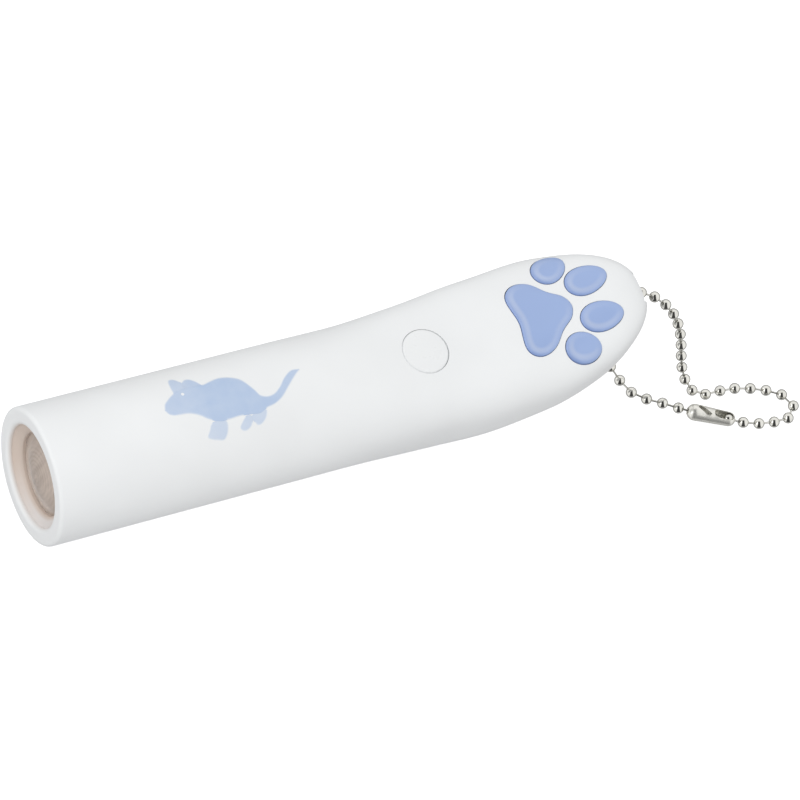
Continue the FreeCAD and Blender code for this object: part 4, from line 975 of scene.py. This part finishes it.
class POINTER_OT_print(bpy.types.Operator):
    """Small printed animal in front of the button"""

    bl_idname = "pointer.printed"
    bl_label = "Print"

    def execute(self, context):
        settings = looks()
        finish = ink_finish(settings)
        turn = np.linspace(0, math.tau, EYE_POINTS, endpoint=False)
        eye = ANIMAL_EYE + EYE_RADIUS * np.column_stack([np.cos(turn), np.sin(turn)])
        body = between(ANIMAL_BACK, ANIMAL_BELLY)
        patches = [(body, np.vstack(body[[0, -1]]), 1.0, 1.0)]
        for outlines, ink, layer in ((ANIMAL_EARS, *EAR_INK), (ANIMAL_FEET, *FOOT_INK),
                                     ((eye,), *EYE_INK)):
            for patch in map(leaf, outlines):
                patches.append((patch, patch[-1], ink, layer))
        for index, (patch, border, ink, layer) in enumerate(patches):
            others = np.vstack([other.reshape(-1, 2) for other, *_ in patches[:-1]
                                if other is not patch])
            apart = np.linalg.norm(border[:, None] - others, axis=2)
            free = apart.min(axis=1) > PRINT_BLUR
            self.lay("printed_animal_%d" % index, patch, border[free] if free.any() else border,
                     ink, layer * settings.print_thickness / MM, finish)
        return {"FINISHED"}

    def lay(self, name, patch, border, ink, lift, finish):
        """One patch of ink at a height of lift on the grip's face, thinner at its free border,
        along the tail and towards the nose."""
        rows, columns = patch.shape[:2]
        height = grip_top(patch[..., 0], patch[..., 1]) + lift
        points = np.concatenate([patch, height[..., None]], axis=-1).reshape(-1, 3)
        piece = make_piece(name, points, grid_faces(rows, columns), finish)
        spots, apart, _ = nearest(piece, border)
        thin = ramp(spots[:, 0], *PRINT_TAIL) + ramp(spots[:, 0], *PRINT_HEAD)
        soft = np.clip(PRINT_EDGE + apart / PRINT_BLUR, 0, 1)
        mark(piece, "ink", ink * (1 - PRINT_FADE * thin) * soft)
        solid = piece.modifiers.new("thickness", "SOLIDIFY")
        solid.thickness = (lift + PRINT_ROOT) * MM
        solid.offset = -1.0 if piece.data.polygons[0].normal.z > 0 else 1.0
        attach(piece, "grip")


def between(back, belly, rows=17, columns=220):
    """Points on straight lines between two edges that run side by side, (1-s) a + s b with
    the share s in cosine steps."""
    share = (0.5 - 0.5 * np.cos(np.linspace(0, math.pi, rows)))[:, None, None]
    return (1 - share) * open_curve(back, columns) + share * open_curve(belly, columns)


def leaf(points, rows=9, columns=48):
    """Points from the middle of a closed outline to the outline, m + s (o - m) with the share
    s in sine steps."""
    outline = closed_curve(points, columns)
    outline = np.vstack([outline, outline[:1]])
    middle = outline.mean(axis=0)
    share = np.sin(np.linspace(0, math.pi / 2, rows))[:, None, None]
    return middle + share * (outline - middle)


class POINTER_OT_chain(bpy.types.Operator):
    """Nickel of the ball chain's beads, wires and coupling"""

    bl_idname = "pointer.chain"
    bl_label = "Chain"

    def execute(self, context):
        colour = looks().chain_colour
        paint(metal("chain_nickel", colour, 0.05, 0.14, 0.86), "chain_beads")
        paint(metal("link_nickel", shaded(colour, 0.8), 0.15, 0.3, 0.8), "chain_links")
        paint(metal("clasp_nickel", shaded(colour, 1.08), 0.26, 0.38, 0.92, 0.75), "chain_clasp")
        return {"FINISHED"}


class POINTER_OT_stage(bpy.types.Operator):
    """Pale floor, soft studio light and the photographed camera"""

    bl_idname = "pointer.stage"
    bl_label = "Stage"

    focal_length: FloatProperty(name="Focal length", description="Focal length in millimetres",
                                default=225.0, min=10.0, max=500.0)
    key_power: FloatProperty(name="Key light", description="Power of the key light in watts",
                             default=1.1, min=0.0, max=100.0)
    zenith: FloatProperty(name="Sky above", description="Strength of the light from above",
                          default=0.8, min=0.0, max=5.0)
    horizon: FloatProperty(name="Sky low", description="Strength of the light from the side",
                           default=0.78, min=0.0, max=5.0)
    mirrored: FloatProperty(name="Mirrored sky",
                            description="Strength of the light that shiny faces mirror",
                            default=1.0, min=0.0, max=5.0)
    softbox: FloatProperty(name="Softbox", description="Strength that the softbox to the left "
                           "adds where shiny faces mirror it", default=1.6, min=0.0, max=10.0)
    paper_glow: FloatProperty(name="Paper glow", description="Strength by which the camera sees "
                              "the floor's paper glow", default=0.72, min=0.0, max=2.0)

    def execute(self, context):
        scene = context.scene
        scene.view_settings.view_transform = "Standard"
        axes = Matrix((CAMERA_RIGHT, CAMERA_UP, CAMERA_BACK)).transposed()
        camera_data = bpy.data.cameras.new("camera")
        camera_data.lens = self.focal_length
        camera_data.sensor_width = 36.0
        camera_data.clip_start = 0.01
        camera_data.clip_end = 10.0
        camera = bpy.data.objects.new("camera", camera_data)
        camera.matrix_world = (Matrix.Translation(Vector(placed(CAMERA_PLACE)))
                               @ axes.to_4x4())
        scene.collection.objects.link(camera)
        scene.camera = camera
        self.lay_floor(scene)
        self.hang_sky(scene)
        self.hang_key(scene, (axes @ Vector(KEY_WAY)).normalized())
        return {"FINISHED"}

    def hang_key(self, scene, way):
        """Round light that faces the object. Shiny faces don't mirror it."""
        key_data = bpy.data.lights.new("key_light", "AREA")
        key_data.shape = "DISK"
        key_data.size = KEY_SIZE
        key_data.energy = self.key_power
        key = bpy.data.objects.new("key_light", key_data)
        key.visible_glossy = False
        key.matrix_world = (Matrix.Translation(way * KEY_DISTANCE)
                            @ way.to_track_quat("Z", "Y").to_matrix().to_4x4())
        scene.collection.objects.link(key)

    def lay_floor(self, scene):
        """Paper that the camera sees white, with a faint shadow under the object. Shiny faces
        mirror the sky in its place."""
        reach = looks().floor_reach
        mesh = bpy.data.meshes.new("floor")
        corners = [(-reach, -reach, 0), (reach, -reach, 0), (reach, reach, 0),
                   (-reach, reach, 0)]
        mesh.from_pydata(corners, [], [(0, 1, 2, 3)])
        floor = bpy.data.objects.new("floor", mesh)
        scene.collection.objects.link(floor)
        material, tree, shader = new_material("floor_paper")
        shader.inputs["Roughness"].default_value = 1.0
        shader.inputs["Specular IOR Level"].default_value = 0.0
        fibre = ranged(tree, noise(tree, object_place(tree), 300.0, 3.0), 0.3, 0.7)
        tree.links.new(mixed(tree, fibre, (0.7, 0.7, 0.71), (0.74, 0.74, 0.74)),
                       shader.inputs["Base Color"])
        paper = shader.outputs["BSDF"]
        glow = node(tree, "ShaderNodeEmission", None, Strength=self.paper_glow)
        sheet = node(tree, "ShaderNodeAddShader")
        tree.links.new(paper, sheet.inputs[0])
        tree.links.new(glow.outputs["Emission"], sheet.inputs[1])
        clear = node(tree, "ShaderNodeBsdfTransparent").outputs["BSDF"]
        rays = node(tree, "ShaderNodeLightPath").outputs
        unseen = either(tree, rays["Is Glossy Ray"], paper, clear)
        seen = either(tree, rays["Is Camera Ray"], unseen, sheet.outputs["Shader"])
        tree.links.new(seen, tree.nodes["Material Output"].inputs["Surface"])
        mesh.materials.append(material)

    def hang_sky(self, scene):
        """Soft dome of light, stronger above than at the sides. Shiny faces mirror a bright
        room in its place."""
        world = bpy.data.worlds.new("studio")
        world.use_nodes = True
        tree = world.node_tree
        way = node(tree, "ShaderNodeTexCoord").outputs["Generated"]
        height = separated(tree, way)["Z"]
        sky = ranged(tree, height, 0.0, 0.9, self.horizon, self.zenith, smooth=True)
        shiny = node(tree, "ShaderNodeLightPath").outputs["Is Glossy Ray"]
        strength = calculated(tree, "MULTIPLY_ADD",
                              calculated(tree, "SUBTRACT", self.room(tree, way), sky), shiny,
                              sky)
        background = tree.nodes["Background"]
        background.inputs["Color"].default_value = (1.0, 1.0, 1.0, 1.0)
        tree.links.new(strength, background.inputs["Strength"])
        scene.world = world

    def room(self, tree, way):
        """Strength of the mirrored room: even, with a softbox to the left, a dark pillar from
        just above the camera downwards, and a dark band far behind the object."""
        across, up, back = (facing(tree, way, axis)
                            for axis in (CAMERA_RIGHT, CAMERA_UP, CAMERA_BACK))
        half_width = ranged(tree, up, PILLAR_TOP[0], -1.0, *PILLAR_WIDTHS)
        beside = calculated(tree, "SUBTRACT", calculated(tree, "ABSOLUTE", across), half_width)
        pillar = product(tree, ranged(tree, beside, *PILLAR_SIDE, 1.0, 0.0),
                         ranged(tree, up, *PILLAR_TOP, 1.0, 0.0),
                         ranged(tree, back, *PILLAR_BACK))
        band = product(tree, ranged(tree, back, *BAND_REAR, BAND_REAR_SHARE, 1.0),
                       ranged(tree, back, *BAND_START, BAND_DEPTH, 0.0, smooth=True))
        dark = calculated(tree, "MAXIMUM", pillar, band)
        softbox = product(tree, window(tree, across, *SOFTBOX_ACROSS),
                          window(tree, up, *SOFTBOX_UP), ranged(tree, back, *SOFTBOX_BACK))
        return calculated(tree, "MULTIPLY_ADD", softbox, self.softbox,
                          ranged(tree, dark, 0.0, 1.0, self.mirrored, DARK_STRENGTH))


class POINTER_PT_sidebar(bpy.types.Panel):
    """The steps in order"""

    bl_idname = "POINTER_PT_sidebar"
    bl_label = "Cat LED pointer"
    bl_space_type = "VIEW_3D"
    bl_region_type = "UI"
    bl_category = "Pointer"

    def draw(self, context):
        for operator in OPERATORS:
            self.layout.operator(operator.bl_idname)
        for name in PointerLooks.__annotations__:
            self.layout.prop(context.scene.pointer_looks, name)


OPERATORS = (
    POINTER_OT_shells,
    POINTER_OT_optics,
    POINTER_OT_works,
    POINTER_OT_pads,
    POINTER_OT_button,
    POINTER_OT_print,
    POINTER_OT_chain,
    POINTER_OT_stage,
)


def register():
    bpy.utils.register_class(PointerLooks)
    bpy.types.Scene.pointer_looks = PointerProperty(type=PointerLooks)
    for operator in OPERATORS:
        bpy.utils.register_class(operator)
    bpy.utils.register_class(POINTER_PT_sidebar)


def unregister():
    bpy.utils.unregister_class(POINTER_PT_sidebar)
    for operator in reversed(OPERATORS):
        bpy.utils.unregister_class(operator)
    del bpy.types.Scene.pointer_looks
    bpy.utils.unregister_class(PointerLooks)


def main():
    register()
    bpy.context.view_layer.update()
    bpy.ops.pointer.shells()
    bpy.ops.pointer.optics()
    bpy.ops.pointer.works()
    bpy.ops.pointer.pads()
    bpy.ops.pointer.button()
    bpy.ops.pointer.printed()
    bpy.ops.pointer.chain()
    bpy.ops.pointer.stage()
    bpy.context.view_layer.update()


if __name__ == "__main__":
    main()
